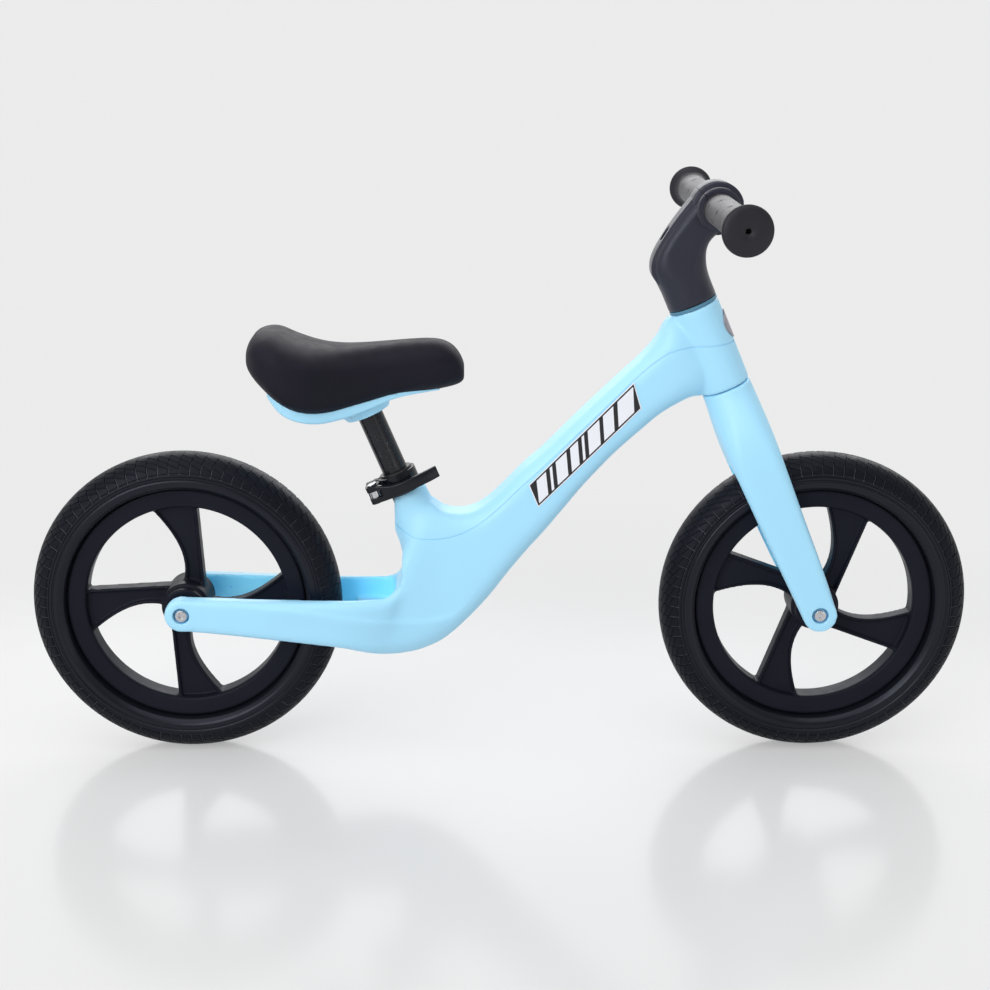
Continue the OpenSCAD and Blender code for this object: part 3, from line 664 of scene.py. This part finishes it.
# Room for the front wheel between the blades: the arch, its corners and its reach.
ARCH_TOP, ARCH_CORNER, ARCH_REACH = 156, 14, 60


def fork_ring(row):
    s, x, a, b, ra, rb = row
    return rounded_ring(Vector((x, 0, s)), Vector((1, 0, 0)), Vector((0, 1, 0)), a, b,
                        min(ra, 0.97 * a), min(rb, 0.97 * b))


def build_fork():
    body = skin("fork_body", [fork_ring(row) for row in smooth_rows(FORK_STATIONS, 6)], AT_STEERING)
    join(body, *both_sides("tool_drop", GAP_HALF, DROP_HALF, DROP_R, AT_FRONT))
    corner = arc(GAP_HALF - ARCH_CORNER, ARCH_TOP - ARCH_CORNER, ARCH_CORNER, range(0, 91, 6))
    near = [(GAP_HALF, -ARCH_REACH)] + corner
    outline = near + [(-y, z) for y, z in reversed(near)]
    cut(body, prism("tool_wheel_room", outline, -ARCH_REACH, ARCH_REACH, AT_STEERING, "x"))
    remesh(body, 1.6, 6)
    cut(body, rod("tool_steerer", 182, 260, STEERER_BORE_R, AT_STEERING), *axle_cuts(AT_FRONT))
    return mark_inner_walls(body, lambda x, z: z < 290)


dress(build_frame(), "frame", blue_plastic, ["frame"], 40)
dress(build_fork(), "steering", blue_plastic, ["fork"], 40)


# ---- wheels ----

# A place in the tyre's section is a share: 0 on the crown, 1 where the tyre is widest, and on to the rim.
PITCHES = 84
TREAD_HALF = 23.9
TYRE_MID, TYRE_TALL, BEAD_R, RIM_R = 127.0, 20.9, 107.2, 114.0
TREAD_EDGE = 0.85
GROOVES = ((0.30, 0.6), (0.47, 0.7), (0.64, 0.6))
GROOVE_HALF, CROSS_DEEP = 0.7, 0.9
RIB_EDGES = (0.862, 0.925, 0.945, 1.01)
VALLEY, BULGE = 1.045, 1.2
SIDEWALL_R = TYRE_MID + 3.6

# Along one pitch of the tread, the places of its mesh columns in millimetres: finer at the cross groove.
COLUMN_PLACES = np.array([-GROOVE_HALF, -0.3, 0, 0.3, GROOVE_HALF, 1.9, 3.3, 4.8, 6.3, 7.8, 9.2])

# The cross grooves zigzag by this share across the tread and lean by this many millimetres at the crown.
ZIGZAG, LEAN, LEAN_END = 0.14, 4.0, 0.62

# How much the painted highlight lines show: at least, more at most, their share near the crown, and on the
# rib.
GLINT_LOW, GLINT_MORE, GLINT_CROWN, GLINT_RIB = 0.35, 0.65, 0.55, 0.6


def tyre_section():
    """The shares of the rows across the tyre, with finer rows at the tread's grooves and at the ribs."""
    fine = [-0.020, -0.010, 0, 0.010, 0.020]
    half = [0, 0.07, 0.14, 0.21]
    for centre, _ in GROOVES:
        half += [centre + d for d in fine]
    half += [0.38, 0.385, 0.555, 0.72, 0.77, 0.81, 0.835, TREAD_EDGE]
    for edge in RIB_EDGES:
        half += [edge - 0.006, edge, edge + 0.006]
    half += [0.893, 0.977, 1.03, 1.038, VALLEY, 1.052, 1.062]
    half += list(np.linspace(1.08, 1.38, 13))
    return sorted(set(round(h, 4) for h in half))


def groove(distance, half_width, depth):
    """Depth of a groove with sloping walls at this distance from its middle."""
    return depth * np.clip(1.7 * (1 - np.abs(distance) / half_width), 0, 1)


def between(share, low, high, edge=0.006):
    return np.clip((share - low) / edge + 0.5, 0, 1) * np.clip((high - share) / edge + 0.5, 0, 1)


def tyre_lift(share, along, pitch):
    """How far the surface stands off the plain tyre, in mm, at a place on the tread."""
    tread = np.clip((TREAD_EDGE + 0.006 - share) / 0.012, 0, 1)
    seam = np.where(along > pitch / 2, along - pitch, along)
    depth = groove(seam, GROOVE_HALF, CROSS_DEEP) * (share > 0.10)
    for centre, deep in GROOVES:
        depth = np.maximum(depth, groove(share - centre, 0.020, deep))
    ribs = 0.6 * (between(share, *RIB_EDGES[:2]) + between(share, *RIB_EDGES[2:]))
    valley = -0.6 * np.exp(-((share - VALLEY) / 0.018) ** 2)
    bulge = 1.1 * np.exp(-((share - BULGE) / 0.12) ** 2)
    return tread * (0.1 - depth) + (1 - tread) * (ribs + valley + bulge - 0.65)


def tyre_column(x, along, pitch, side, share, beads):
    """One cross section of the tyre, at x along its tread and so far along its pitch."""
    ramp_up = along if along < pitch - GROOVE_HALF else along - pitch
    slope = (ramp_up / pitch - 0.5) if ramp_up > GROOVE_HALF else -0.5 * ramp_up / GROOVE_HALF
    window = np.clip(share / 0.15, 0, 1) * np.clip((0.8 - share) / 0.12, 0, 1)
    tilt = np.radians(90 * (1 - (share + ZIGZAG * slope * window)))
    radius = TYRE_MID + TYRE_TALL * np.sin(tilt)
    y = side * TREAD_HALF * np.cos(tilt)
    lift = tyre_lift(share, along, pitch)
    out = np.stack([np.sin(tilt) / TYRE_TALL, side * np.cos(tilt) / TREAD_HALF])
    out /= np.hypot(*out)
    lean = -side * LEAN * np.clip((LEAN_END - share) / LEAN_END, 0, 1) ** 1.5
    angle = (x + lean) / WHEEL_R
    radius, y = radius + lift * out[0], y + lift * out[1]
    ring = np.stack([radius * np.sin(angle), y, radius * np.cos(angle)], axis=1)
    flat = x / WHEEL_R
    low = [(r * math.sin(flat), -w, r * math.cos(flat)) for r, w in reversed(beads)]
    high = [(r * math.sin(flat), w, r * math.cos(flat)) for r, w in beads]
    return np.concatenate([low, ring, high])


def glint_shares(columns, share):
    """How much painted highlight each point of the tyre's skin takes: along the cross grooves and along the
    outer rib.
    """
    glint = np.zeros((len(columns), len(share)))
    line = (share > 0.12) & (share < TREAD_EDGE + 0.02)
    for c, (_, along) in enumerate(columns):
        if abs(along) < 0.05:
            fade = 0.5 + 0.5 * math.sin(7.3 * c) * math.sin(2.1 * c)
            glint[c] = line * (GLINT_LOW + GLINT_MORE * fade) * np.where(share > 0.6, 1.0, GLINT_CROWN)
    rib = np.abs(share - RIB_EDGES[0]) < 0.004
    return np.maximum(glint, rib * GLINT_RIB)


def build_tyre(name, place):
    half = np.array(tyre_section())
    sides = np.concatenate([-half[::-1], half[1:]])
    pitch = 2 * math.pi * WHEEL_R / PITCHES
    columns = [(k * pitch + a, a % pitch) for k in range(PITCHES) for a in COLUMN_PLACES]
    beads = [(RIM_R + 0.4, 12.6), (RIM_R + 0.2, 10.4), (BEAD_R, 8.8)]
    side = np.sign(sides)
    share = np.abs(sides)
    points = np.array([tyre_column(x, along, pitch, side, share, beads) for x, along in columns])
    # The painted highlight lines, kept as a point attribute.
    glint = np.zeros(points.shape[:2])
    glint[:, len(beads):-len(beads)] = glint_shares(columns, share)
    total, count = points.shape[:2]
    tyre = new_object(name, points.reshape(-1, 3), ring_faces(total, count, count), place)
    tyre.data.attributes.new("painted_glint_line", "FLOAT", "POINT").data.foreach_set("value", glint.ravel())
    return tyre


def paint_sidewalls(tyre, place):
    """The smooth sides shine more than the tread."""
    tyre.data.materials.append(sidewall_rubber)
    centre = place.translation
    for poly in tyre.data.polygons:
        offset = (poly.center - centre) / MM
        if math.hypot(offset.x, offset.z) < SIDEWALL_R:
            poly.material_index = 1


for wheel, place in (("front", AT_FRONT), ("rear", AT_REAR)):
    body = wheel + "_wheel"
    tyre = build_tyre(wheel + "_tyre_tread", place)
    dress(tyre, body, tyre_rubber, [wheel + "_tyre"], 50)
    paint_sidewalls(tyre, place)
    rim = remesh(copy_of(wheel + "_rim", wheel + "_wheel_rim"), 1.15, 3)
    dress(rim, body, black_plastic, [wheel + "_rim"], 45)


# ---- handlebar ----

BAR_REACH, BAR_RISE, BAR_HALF, GRIP_R, FLANGE_R, BAR_R = 51.7, 389, 188, 14.3, 21.5, 11.15
AT_BAR = AT_STEERING @ Matrix.Translation((BAR_REACH, 0, BAR_RISE))

# Sections of the stem from the bar down to the headset, in the steering frame:
# back x, back z, front x, front z, half width, corner size along the section, corner size across.
STEM_STATIONS = [
    (35, 403.6, 52, 368, 19, 10, 10), (22.4, 397, 47, 368, 19.2, 10, 10), (9.4, 389, 42, 367, 19.4, 10, 10),
    (-3.6, 380.3, 37, 365.2, 19.8, 10, 10), (-15, 370.8, 32.2, 361.8, 20.4, 11, 11),
    (-22.4, 359, 27.6, 355, 21.4, 14, 13), (-23.8, 347, 24.2, 344, 22.6, 19, 18),
    (-23.1, 333, 23.1, 332, 23.1, 22.4, 22.4), (-23.1, 316.4, 23.1, 316.4, 23.1, 22.4, 22.4)]

# Outer line of the flat band along the stem's back, and the band's section: half widths and depths.
SPINE = [(-23.3, 345.5), (-24.9, 351.5), (-24.9, 358), (-21.2, 366.6), (-13.4, 375.3), (-2.5, 383.6),
         (9.2, 391.6), (22, 399.3), (34, 405.8), (42, 409.8)]
SPINE_FLAT, SPINE_FOOT, SPINE_SLOPE, SPINE_DEEP = 10.5, 13.5, 3.0, 10.0
CLAMP_R, BOSS_R, CLAMP_HALF, BOSS_HALF = 22.8, 19.6, 15, 26.4
BAR_ROOM_R = BAR_R + 0.05
STEM_BOLT_R, STEM_BOLT_ROOM_R = 3.1, 6.2
CAP_SCREW_R, CAP_SCREW_ROOM_R, CAP_SCREW_SIDE, CAP_SCREW_DROP = 2.2, 3.9, 9, -16

# The cap meets the stem on a plane that leans by this much round the bar.
CAP_TURN = Matrix.Rotation(math.radians(-25), 4, "Y")


def clamp_profile():
    """Section of the bar clamp: from each side the boss, a narrow band, a groove and the wide middle band."""
    bands = [(BAR_ROOM_R, -BOSS_HALF), (BOSS_R - 1, -BOSS_HALF), (BOSS_R, -BOSS_HALF + 1),
             (BOSS_R, -CLAMP_HALF), (CLAMP_R - 0.5, -CLAMP_HALF), (CLAMP_R + 0.7, -14.4),
             (CLAMP_R + 0.7, -13.3), (CLAMP_R - 0.4, -13.0), (CLAMP_R - 0.4, -12.2),
             (CLAMP_R + 1.2, -12), (CLAMP_R + 1.4, -11.6)]
    return bands + [(r, -y) for r, y in reversed(bands)]


def build_spine():
    rows = smooth_rows(SPINE, 3)
    profile = ((SPINE_FLAT, 0), (SPINE_FOOT, SPINE_SLOPE), (SPINE_FOOT, SPINE_DEEP))
    rings = []
    for k, (x, z) in enumerate(rows):
        turn = direction(rows, k)
        inward = Vector((turn[1], 0, -turn[0])).normalized()
        at = Vector((x, 0, z))
        half = [(at + inward * depth, Vector((0, wide, 0))) for wide, depth in profile]
        rings.append([p + w for p, w in half] + [p - w for p, w in half[::-1]])
    return skin("tool_spine", rings, AT_STEERING)


def half_space(side):
    """A block that covers the clamp's cap, or all but the cap."""
    low, high = ((0.4, -40, -60), (80, 40, 60)) if side == "cap" else ((-80, -40, -60), (1.0, 40, 60))
    return block("tool_half", low, high, AT_BAR @ CAP_TURN)


def build_stem():
    rings = [frame_ring(row) for row in smooth_rows(STEM_STATIONS, 6)]
    body = skin("stem_body", rings, AT_STEERING)
    cut(body, rod("tool_bar_room", -40, 40, BOSS_R - 2, AT_BAR, "y"))
    neck = remesh(body, 1.0, 12)
    join(neck, build_spine(), revolve("tool_clamp", clamp_profile(), AT_BAR, 128, "y"))
    cut(neck,
        rod("tool_bar", -40, 40, BAR_ROOM_R, AT_BAR, "y"),
        half_space("cap"),
        rod("tool_steerer_bore", 300, 365, STEERER_BORE_R, AT_STEERING),
        rod("tool_bolt_bore", 300, 430, STEM_BOLT_R, AT_STEERING),
        rod("tool_bolt_hole", 370, 430, STEM_BOLT_ROOM_R, AT_STEERING))
    return bevel(neck, 0.45, 38)


def build_cap():
    cap = revolve("bar_clamp_front", clamp_profile(), AT_BAR, 128, "y")
    tools = [half_space("stem")]
    for y in (-CAP_SCREW_SIDE, CAP_SCREW_SIDE):
        place = (AT_BAR @ CAP_TURN @ Matrix.Translation((0, y, CAP_SCREW_DROP))
                 @ Matrix.Rotation(math.radians(90), 4, "Y"))
        tools.append(rod("tool_screw", -20, 60, CAP_SCREW_R, place, steps=24))
        tools.append(rod("tool_head", 8.5, 60, CAP_SCREW_ROOM_R, place, steps=32))
    return bevel(cut(cap, *tools), 0.45, 38)


dress(build_stem(), "steering", stem_plastic, ["stem"], 40)
dress(build_cap(), "steering", stem_plastic, ["bar_clamp_cap"], 40)


# ---- grips ----

# Pressed marks: how far apart their rows are, how many go round, and a mark's length, half width and depth.
MARK_ROWS, MARKS_ROUND, MARK_LONG, MARK_HALF, MARK_DEEP = 25.0, 4, 2.6, 1.2, 0.9
MARKS_START, MARKS_END = 34, BAR_HALF - 18
GRIP_STEPS = 120
END_HOLE_R = 2.4


def grip_profile():
    """Section of a grip: the inner lip, the sleeve, the flare, and the end flange with its small hole."""
    lip = [(BAR_R, 26.6), (GRIP_R + 0.3, 26.6), (GRIP_R + 0.6, 27), (GRIP_R + 0.6, 28.3), (GRIP_R, 29.6)]
    sleeve = [(GRIP_R, y) for y in np.linspace(30.4, BAR_HALF - 17, 145)]
    flare = [(0.35, 16), (0.8, 14), (1.5, 12), (2.4, 10), (3.5, 8.4), (4.8, 7), (6.2, 5.8), (6.9, 5)]
    flange = [(GRIP_R + r, BAR_HALF - d) for r, d in flare]
    flange += [(FLANGE_R, BAR_HALF - 3.8),
               (FLANGE_R - 0.2, BAR_HALF - 2.7), (FLANGE_R - 1, BAR_HALF - 1.7),
               (FLANGE_R - 3, BAR_HALF - 0.8), (FLANGE_R - 7, BAR_HALF - 0.15), (FLANGE_R - 12, BAR_HALF),
               (END_HOLE_R + 0.5, BAR_HALF), (END_HOLE_R, BAR_HALF - 0.5), (END_HOLE_R, BAR_HALF - 4.8),
               (BAR_R, BAR_HALF - 4.8)]
    return lip + sleeve + flange


def mark_sink(step, y):
    """How deep a pressed mark lies at this step round the grip and this far along it."""
    row = (y - MARKS_START) // MARK_ROWS
    across = (y - MARKS_START) % MARK_ROWS - MARK_ROWS / 2
    pitch = GRIP_STEPS / MARKS_ROUND
    step_long = 2 * math.pi * GRIP_R / GRIP_STEPS
    turn = ((step + row % 2 * pitch / 2) % pitch - pitch / 2) * step_long
    shape = abs(across + 0.5 * turn) / MARK_HALF
    return MARK_DEEP * unit(1.6 - shape * 1.6) * unit((MARK_LONG - abs(turn)) / 1.5)


def build_grip(name, side):
    """A rubber sleeve with a few short pressed marks, set in offset rows."""
    profile = grip_profile()
    points = []
    for s in range(GRIP_STEPS):
        angle = 2 * math.pi * s / GRIP_STEPS
        for radius, y in profile:
            on_sleeve = abs(radius - GRIP_R) < 1e-6 and MARKS_START < y < MARKS_END
            r = radius - (mark_sink(s, y) if on_sleeve else 0)
            points.append((r * math.cos(angle), side * y, r * math.sin(angle)))
    return new_object(name, points, ring_faces(GRIP_STEPS, len(profile), len(profile)), AT_BAR)


for name, side in (("left", 1), ("right", -1)):
    grip = build_grip("grip_sleeve_" + name, side)
    dress(grip, "steering", grip_rubber, ["grip_" + name], 50)


# ---- saddle ----

# Sections of the cushion from its rear to its nose: x, top z, bottom z, half width.
SADDLE_STATIONS = [
    (-235, 395, 384, 20), (-233.4, 401.5, 378, 34), (-228, 409, 370, 47), (-219.5, 412.8, 360.5, 56),
    (-208, 412.6, 350, 61.5), (-194, 406.5, 341, 63), (-178, 401.2, 336.3, 60), (-162, 398.4, 335, 52),
    (-145, 397.8, 337.5, 43.5), (-125, 399, 343.8, 36.5), (-105, 400.8, 350.5, 32),
    (-85, 402.6, 354.2, 29.5), (-68, 403.4, 356.5, 28), (-56, 402.2, 358.6, 26), (-46, 397.4, 360.8, 22.5),
    (-39, 389, 363.2, 18), (-35.2, 380, 366.5, 12)]


def build_saddle():
    rings = []
    for row in smooth_rows(SADDLE_STATIONS, 5):
        x, top, low, wide = row
        half = (top - low) / 2
        rings.append(rounded_ring(Vector((x, 0, low + half)), Vector((0, 1, 0)), Vector((0, 0, 1)),
                                  wide, half, 0.8 * wide, min(0.8 * half, 22)))
    cushion = skin("saddle_pad", rings)
    return remesh(cushion, 1.8, 8)


saddle = dress(build_saddle(), "saddle", saddle_skin, ["saddle_cushion"], 60)


# The flared boss under the saddle, round the post: radius and height in the seat frame.
BOSS_FLARE = [(12.4, 54.6), (20.9, 54.6), (21.9, 55.4), (25.2, 62), (27, 68), (12.4, 68)]
BOSS_SHIFT = -0.8


def build_base():
    """The shell under the cushion, with the boss flared into it."""
    shell = copy_of("saddle_base", "saddle_shell")
    flare = revolve("tool_flare", BOSS_FLARE, AT_SEAT @ Matrix.Translation((BOSS_SHIFT, 0, 0)))
    cut(flare, copy_of("saddle_cushion", "tool_cushion"))
    return join(shell, flare)


dress(build_base(), "saddle", blue_plastic, ["saddle_base"], 35)


# ---- small parts ----

def softened(node, name, width, body, material):
    """A CAD piece with its edges broken."""
    piece = bevel(copy_of(node, name), width)
    dress(piece, body, material, [node])


# Sections of the clamp lever's arm in the seat frame: x, y, half thickness, low z, high z over the pivot.
LEVER_STATIONS = [
    (-23, -21.6, 2.7, -8.6, 8.4), (-17, -23.6, 2.8, -8.6, 7.4), (-11, -24.6, 2.8, -8.6, 4.8),
    (-4, -25, 2.8, -8.6, 3), (4, -24.9, 2.8, -8.6, 2.5), (12, -24.2, 2.7, -8.5, 2.5),
    (21, -22.7, 2.6, -8.4, 2.7), (30, -20.7, 2.5, -8.2, 2.9), (38.5, -18.2, 2.2, -7.8, 3.1)]
LEVER_CORNER = 1.5

# The lever's pivot in the seat frame, its two prongs, the pin's hole, and the room for the skewer's eye.
PIVOT = (-23.5, -17.5, -16)
PRONG_R, PRONG_OUT, PRONG_IN, PIN_HOLE_R = 7, 8.6, 3.4, 2.05
EYE_LOW, EYE_HIGH = (-10, -12, -PRONG_IN), (7.5, 8, PRONG_IN)


def build_lever():
    rows = smooth_rows(LEVER_STATIONS, 4)
    rings = []
    for k, (x, y, half, low, high) in enumerate(rows):
        turn = direction(rows, k)
        along = Vector((turn[0], turn[1], 0)).normalized()
        centre = Vector((x, y, PIVOT[2] + (low + high) / 2))
        rings.append(rounded_ring(centre, Vector((-along.y, along.x, 0)), Vector((0, 0, 1)),
                                  half, (high - low) / 2, LEVER_CORNER, LEVER_CORNER, 4))
    arm = skin("clamp_arm", rings, AT_SEAT)
    at_pivot = AT_SEAT @ Matrix.Translation(PIVOT)
    join(arm,
         rod("tool_prong_a", -PRONG_OUT, -PRONG_IN, PRONG_R, at_pivot),
         rod("tool_prong_b", PRONG_IN, PRONG_OUT, PRONG_R, at_pivot))
    cut(arm,
        rod("tool_pin", -12, 12, PIN_HOLE_R, at_pivot),
        block("tool_eye", EYE_LOW, EYE_HIGH, at_pivot))
    return bevel(arm, 0.6, 40)


dress(build_lever(), "clamp_lever", clamp_black, ["clamp_lever"], 40)
softened("clamp_collar", "clamp_band", 0.6, "frame", clamp_black)
softened("clamp_nut", "clamp_thumb_nut", 0.5, "clamp_nut", clamp_black)
softened("clamp_pin", "clamp_pivot", 0.5, "frame", steel)
for wheel, body in (("front", "steering"), ("rear", "frame")):
    softened(wheel + "_axle_bolts", wheel + "_bolt_heads", 0.45, body, steel)

# CAD pieces that show as they are, by material.
LEFT_OVER = {
    steel: ["clamp_skewer", "clamp_washers", "front_bearing_inner_rings", "rear_bearing_inner_rings",
            "front_bearing_outer_rings", "rear_bearing_outer_rings", "front_bearing_balls",
            "rear_bearing_balls", "saddle_screw"],
    black_steel: ["stem_bolt", "bar_clamp_screws"],
    axle_dark: ["front_axle", "rear_axle", "front_hub_spacers", "rear_hub_spacers", "steerer_tube",
                "steerer_plug", "handlebar"],
    bushing_plastic: ["headset_upper_bushing", "headset_lower_bushing", "seat_tube_liner",
                      "seat_post_plug"],
    shaded_collar: ["headset_collar"],
    post_paint: ["seat_post"],
    badge_metal: ["head_badge"],
}
for material, names in LEFT_OVER.items():
    for name in names:
        NODES[name].data.materials.clear()
        NODES[name].data.materials.append(material)


# Plain slanted blocks along the decal, as shares of its length; they spell nothing.
BLOCKS = ((0.04, 0.13), (0.165, 0.19), (0.225, 0.325), (0.36, 0.435), (0.47, 0.495), (0.53, 0.64),
          (0.675, 0.77), (0.81, 0.96))
DECAL_LONG, DECAL_TALL, BORDER_WHITE, BORDER_BLACK, SLANT = 138.0, 25.0, 1.0, 2.6, -0.06


def stripes_material():
    """White slanted blocks on black inside a thin white border, from the piece's own UVs."""
    mat, shader = principled("decal_film", (0.9, 0.9, 0.9), 0.35)
    nodes, links = mat.node_tree.nodes, mat.node_tree.links
    uv = nodes.new("ShaderNodeUVMap")
    split = nodes.new("ShaderNodeSeparateXYZ")
    links.new(uv.outputs["UV"], split.inputs["Vector"])

    def maths(kind, first, second=0.0):
        node = nodes.new("ShaderNodeMath")
        node.operation = kind
        for socket, value in zip(node.inputs, (first, second)):
            if isinstance(value, (int, float)):
                socket.default_value = value
            else:
                links.new(value, socket)
        return node.outputs[0]

    def edge_distance(value, size):
        from_middle = maths("ABSOLUTE", maths("SUBTRACT", value, 0.5))
        return maths("MULTIPLY", maths("SUBTRACT", 0.5, from_middle), size)

    u, v = split.outputs["X"], split.outputs["Y"]
    edge = maths("MINIMUM", edge_distance(u, DECAL_LONG), edge_distance(v, DECAL_TALL))
    leaning = maths("ADD", u, maths("MULTIPLY", maths("SUBTRACT", v, 0.5), SLANT))
    blocks = nodes.new("ShaderNodeValToRGB")
    blocks.color_ramp.interpolation = "CONSTANT"
    blocks.color_ramp.elements.remove(blocks.color_ramp.elements[1])
    blocks.color_ramp.elements[0].color = (0, 0, 0, 1)
    for low, high in BLOCKS:
        blocks.color_ramp.elements.new(low).color = (1, 1, 1, 1)
        blocks.color_ramp.elements.new(high).color = (0, 0, 0, 1)
    links.new(leaning, blocks.inputs["Fac"])
    inside = maths("MULTIPLY", blocks.outputs["Color"], maths("GREATER_THAN", edge, BORDER_BLACK))
    white = maths("MAXIMUM", inside, maths("LESS_THAN", edge, BORDER_WHITE))
    tint(mat, shader, white, FILM_BLACK, FILM_WHITE)
    bump(mat, shader, noise(mat, 900, 2), 0.1, 0.01)
    return mat


# Corners of the decal on the frame's side: x, z in millimetres, from the rear lower one round.
DECAL = ((25.0, 269.9), (121.0, 368.1), (128.7, 343.3), (34.2, 248.3))
DECAL_SIDE, DECAL_THICK, DECAL_COLUMNS = 25.2, 0.35, 24


def build_decals():
    points, faces = [], []
    columns, step = DECAL_COLUMNS, 2 * (DECAL_COLUMNS + 1)
    for side in (-1, 1):
        base = len(points)
        for layer in (DECAL_SIDE, DECAL_SIDE + DECAL_THICK):
            for c in range(columns + 1):
                t = c / columns
                for a, b in ((DECAL[0], DECAL[1]), (DECAL[3], DECAL[2])):
                    points.append((a[0] + (b[0] - a[0]) * t, side * layer, a[1] + (b[1] - a[1]) * t))
        for i in range(base, base + 2 * columns, 2):
            faces += [(i + step, i + step + 1, i + step + 3, i + step + 2), (i, i + 2, i + 3, i + 1),
                      (i, i + step, i + step + 2, i + 2), (i + 1, i + 3, i + step + 3, i + step + 1)]
        last = base + 2 * columns
        faces += [(base, base + 1, base + step + 1, base + step),
                  (last, last + step, last + step + 1, last + 1)]
    obj = new_object("frame_stripes", points, faces)
    layer = obj.data.uv_layers.new(name="pattern")
    for poly in obj.data.polygons:
        for loop in poly.loop_indices:
            index = obj.data.loops[loop].vertex_index % step
            layer.data[loop].uv = ((index // 2) / columns, 1 - index % 2)
    return obj


dress(build_decals(), "frame", stripes_material(), ["frame_decals"])


# ---- floor, light and camera ----

FLOOR_GREY, FLOOR_SHADE, FLOOR_GLOW = (0.60, 0.60, 0.61), (0.59, 0.59, 0.60), (0.835, 0.835, 0.835, 1)
FLOOR_REACH = 60.0
SWEEP_START, SWEEP_R, SWEEP_TOP = 7.0, 3, 12.0

# Share of the floor's even glow near the bike and away from it, and where it changes, in metres.
GLOW_NEAR, GLOW_FAR, GLOW_START, GLOW_END = 0.42, 1.0, 0.30, 0.95


def build_floor():
    """A pale floor that runs up into a backdrop, mostly even in tone, with soft reflections."""
    mat, shader = principled("floor_grey", FLOOR_GREY, 0.16, Specular_IOR_Level=0.22)
    tint(mat, shader, noise(mat, 2.0, 2), FLOOR_GREY, FLOOR_SHADE)
    nodes, links = mat.node_tree.nodes, mat.node_tree.links
    glow = nodes.new("ShaderNodeEmission")
    glow.inputs["Color"].default_value = FLOOR_GLOW
    place = nodes.new("ShaderNodeTexCoord")
    far = nodes.new("ShaderNodeVectorMath")
    far.operation = "LENGTH"
    links.new(place.outputs["Object"], far.inputs[0])
    share = ramp(mat, far.outputs["Value"], GLOW_START, GLOW_END, GLOW_NEAR, GLOW_FAR)
    mix = nodes.new("ShaderNodeMixShader")
    links.new(share, mix.inputs["Fac"])
    links.new(shader.outputs["BSDF"], mix.inputs[1])
    links.new(glow.outputs["Emission"], mix.inputs[2])
    links.new(mix.outputs["Shader"], nodes["Material Output"].inputs["Surface"])
    sweep = [(-FLOOR_REACH, 0.0), (SWEEP_START, 0.0)]
    sweep += [(SWEEP_START + SWEEP_R * math.sin(t), SWEEP_R - SWEEP_R * math.cos(t))
              for t in np.radians(range(6, 91, 6))]
    sweep += [(SWEEP_START + SWEEP_R, SWEEP_TOP)]
    points = [(x, y, z) for y, z in sweep for x in (-FLOOR_REACH, FLOOR_REACH)]
    faces = [(2 * k, 2 * k + 1, 2 * k + 3, 2 * k + 2) for k in range(len(sweep) - 1)]
    floor = new_object("floor", points, faces, Matrix.Identity(4))
    floor.data.materials.append(mat)
    floor.data.shade_smooth()


def area_light(name, place, target, size, power):
    light = bpy.data.lights.new(name, "AREA")
    light.shape = "RECTANGLE"
    light.size, light.size_y = size
    light.energy = power
    obj = placed(name, light)
    obj.location = place
    obj.rotation_euler = (Vector(target) - Vector(place)).to_track_quat("-Z", "Y").to_euler()


# The room's strength towards the front and elsewhere, and between which directions it changes.
WORLD_FRONT, WORLD_REST, TURN_START, TURN_END = 0.22, 0.55, -0.95, -0.35


def build_world():
    """An even room, darker behind the camera, so that dark pieces keep their contrast."""
    world = bpy.data.worlds.new("studio")
    bpy.context.scene.world = world
    world.use_nodes = True
    nodes, links = world.node_tree.nodes, world.node_tree.links
    nodes["Background"].inputs["Color"].default_value = (1, 1, 1, 1)
    place = nodes.new("ShaderNodeTexCoord")
    split = nodes.new("ShaderNodeSeparateXYZ")
    links.new(place.outputs["Generated"], split.inputs["Vector"])
    level = ramp(world, split.outputs["Y"], TURN_START, TURN_END, WORLD_FRONT, WORLD_REST)
    links.new(level, nodes["Background"].inputs["Strength"])


# The place in metres, the turns in degrees and the lens from which the bike is seen from its right side.
EYE = (-0.0305, -1.559, 0.6885)
YAW, PITCH, ROLL = 0.9005, 15.594, 0.2627
LENS, SENSOR = 61.89, 36


def build_camera():
    yaw, pitch, roll = (math.radians(v) for v in (YAW, PITCH, ROLL))
    camera = bpy.data.cameras.new("camera")
    camera.sensor_width = SENSOR
    camera.lens = LENS
    camera.clip_end = 200
    obj = placed("camera", camera)
    obj.matrix_world = (Matrix.Translation(EYE) @ Matrix.Rotation(-yaw, 4, "Z")
                        @ Matrix.Rotation(math.radians(90) - pitch, 4, "X") @ Matrix.Rotation(roll, 4, "Z"))
    bpy.context.scene.camera = obj


build_floor()
build_world()
build_camera()
centre = (0, 0, 0.25)
area_light("top_light", (-0.3, -0.6, 2.6), (0, 0.1, 0.2), (3.2, 2.4), 32)
area_light("side_light", (-1.6, -2.4, 1.5), centre, (2.0, 1.8), 48)
area_light("low_light", (1.7, -1.9, 0.15), centre, (1.6, 0.7), 4)
area_light("back_light", (0.3, 2.8, 1.9), centre, (4.0, 1.6), 60)
bpy.context.scene.view_settings.view_transform = "Standard"
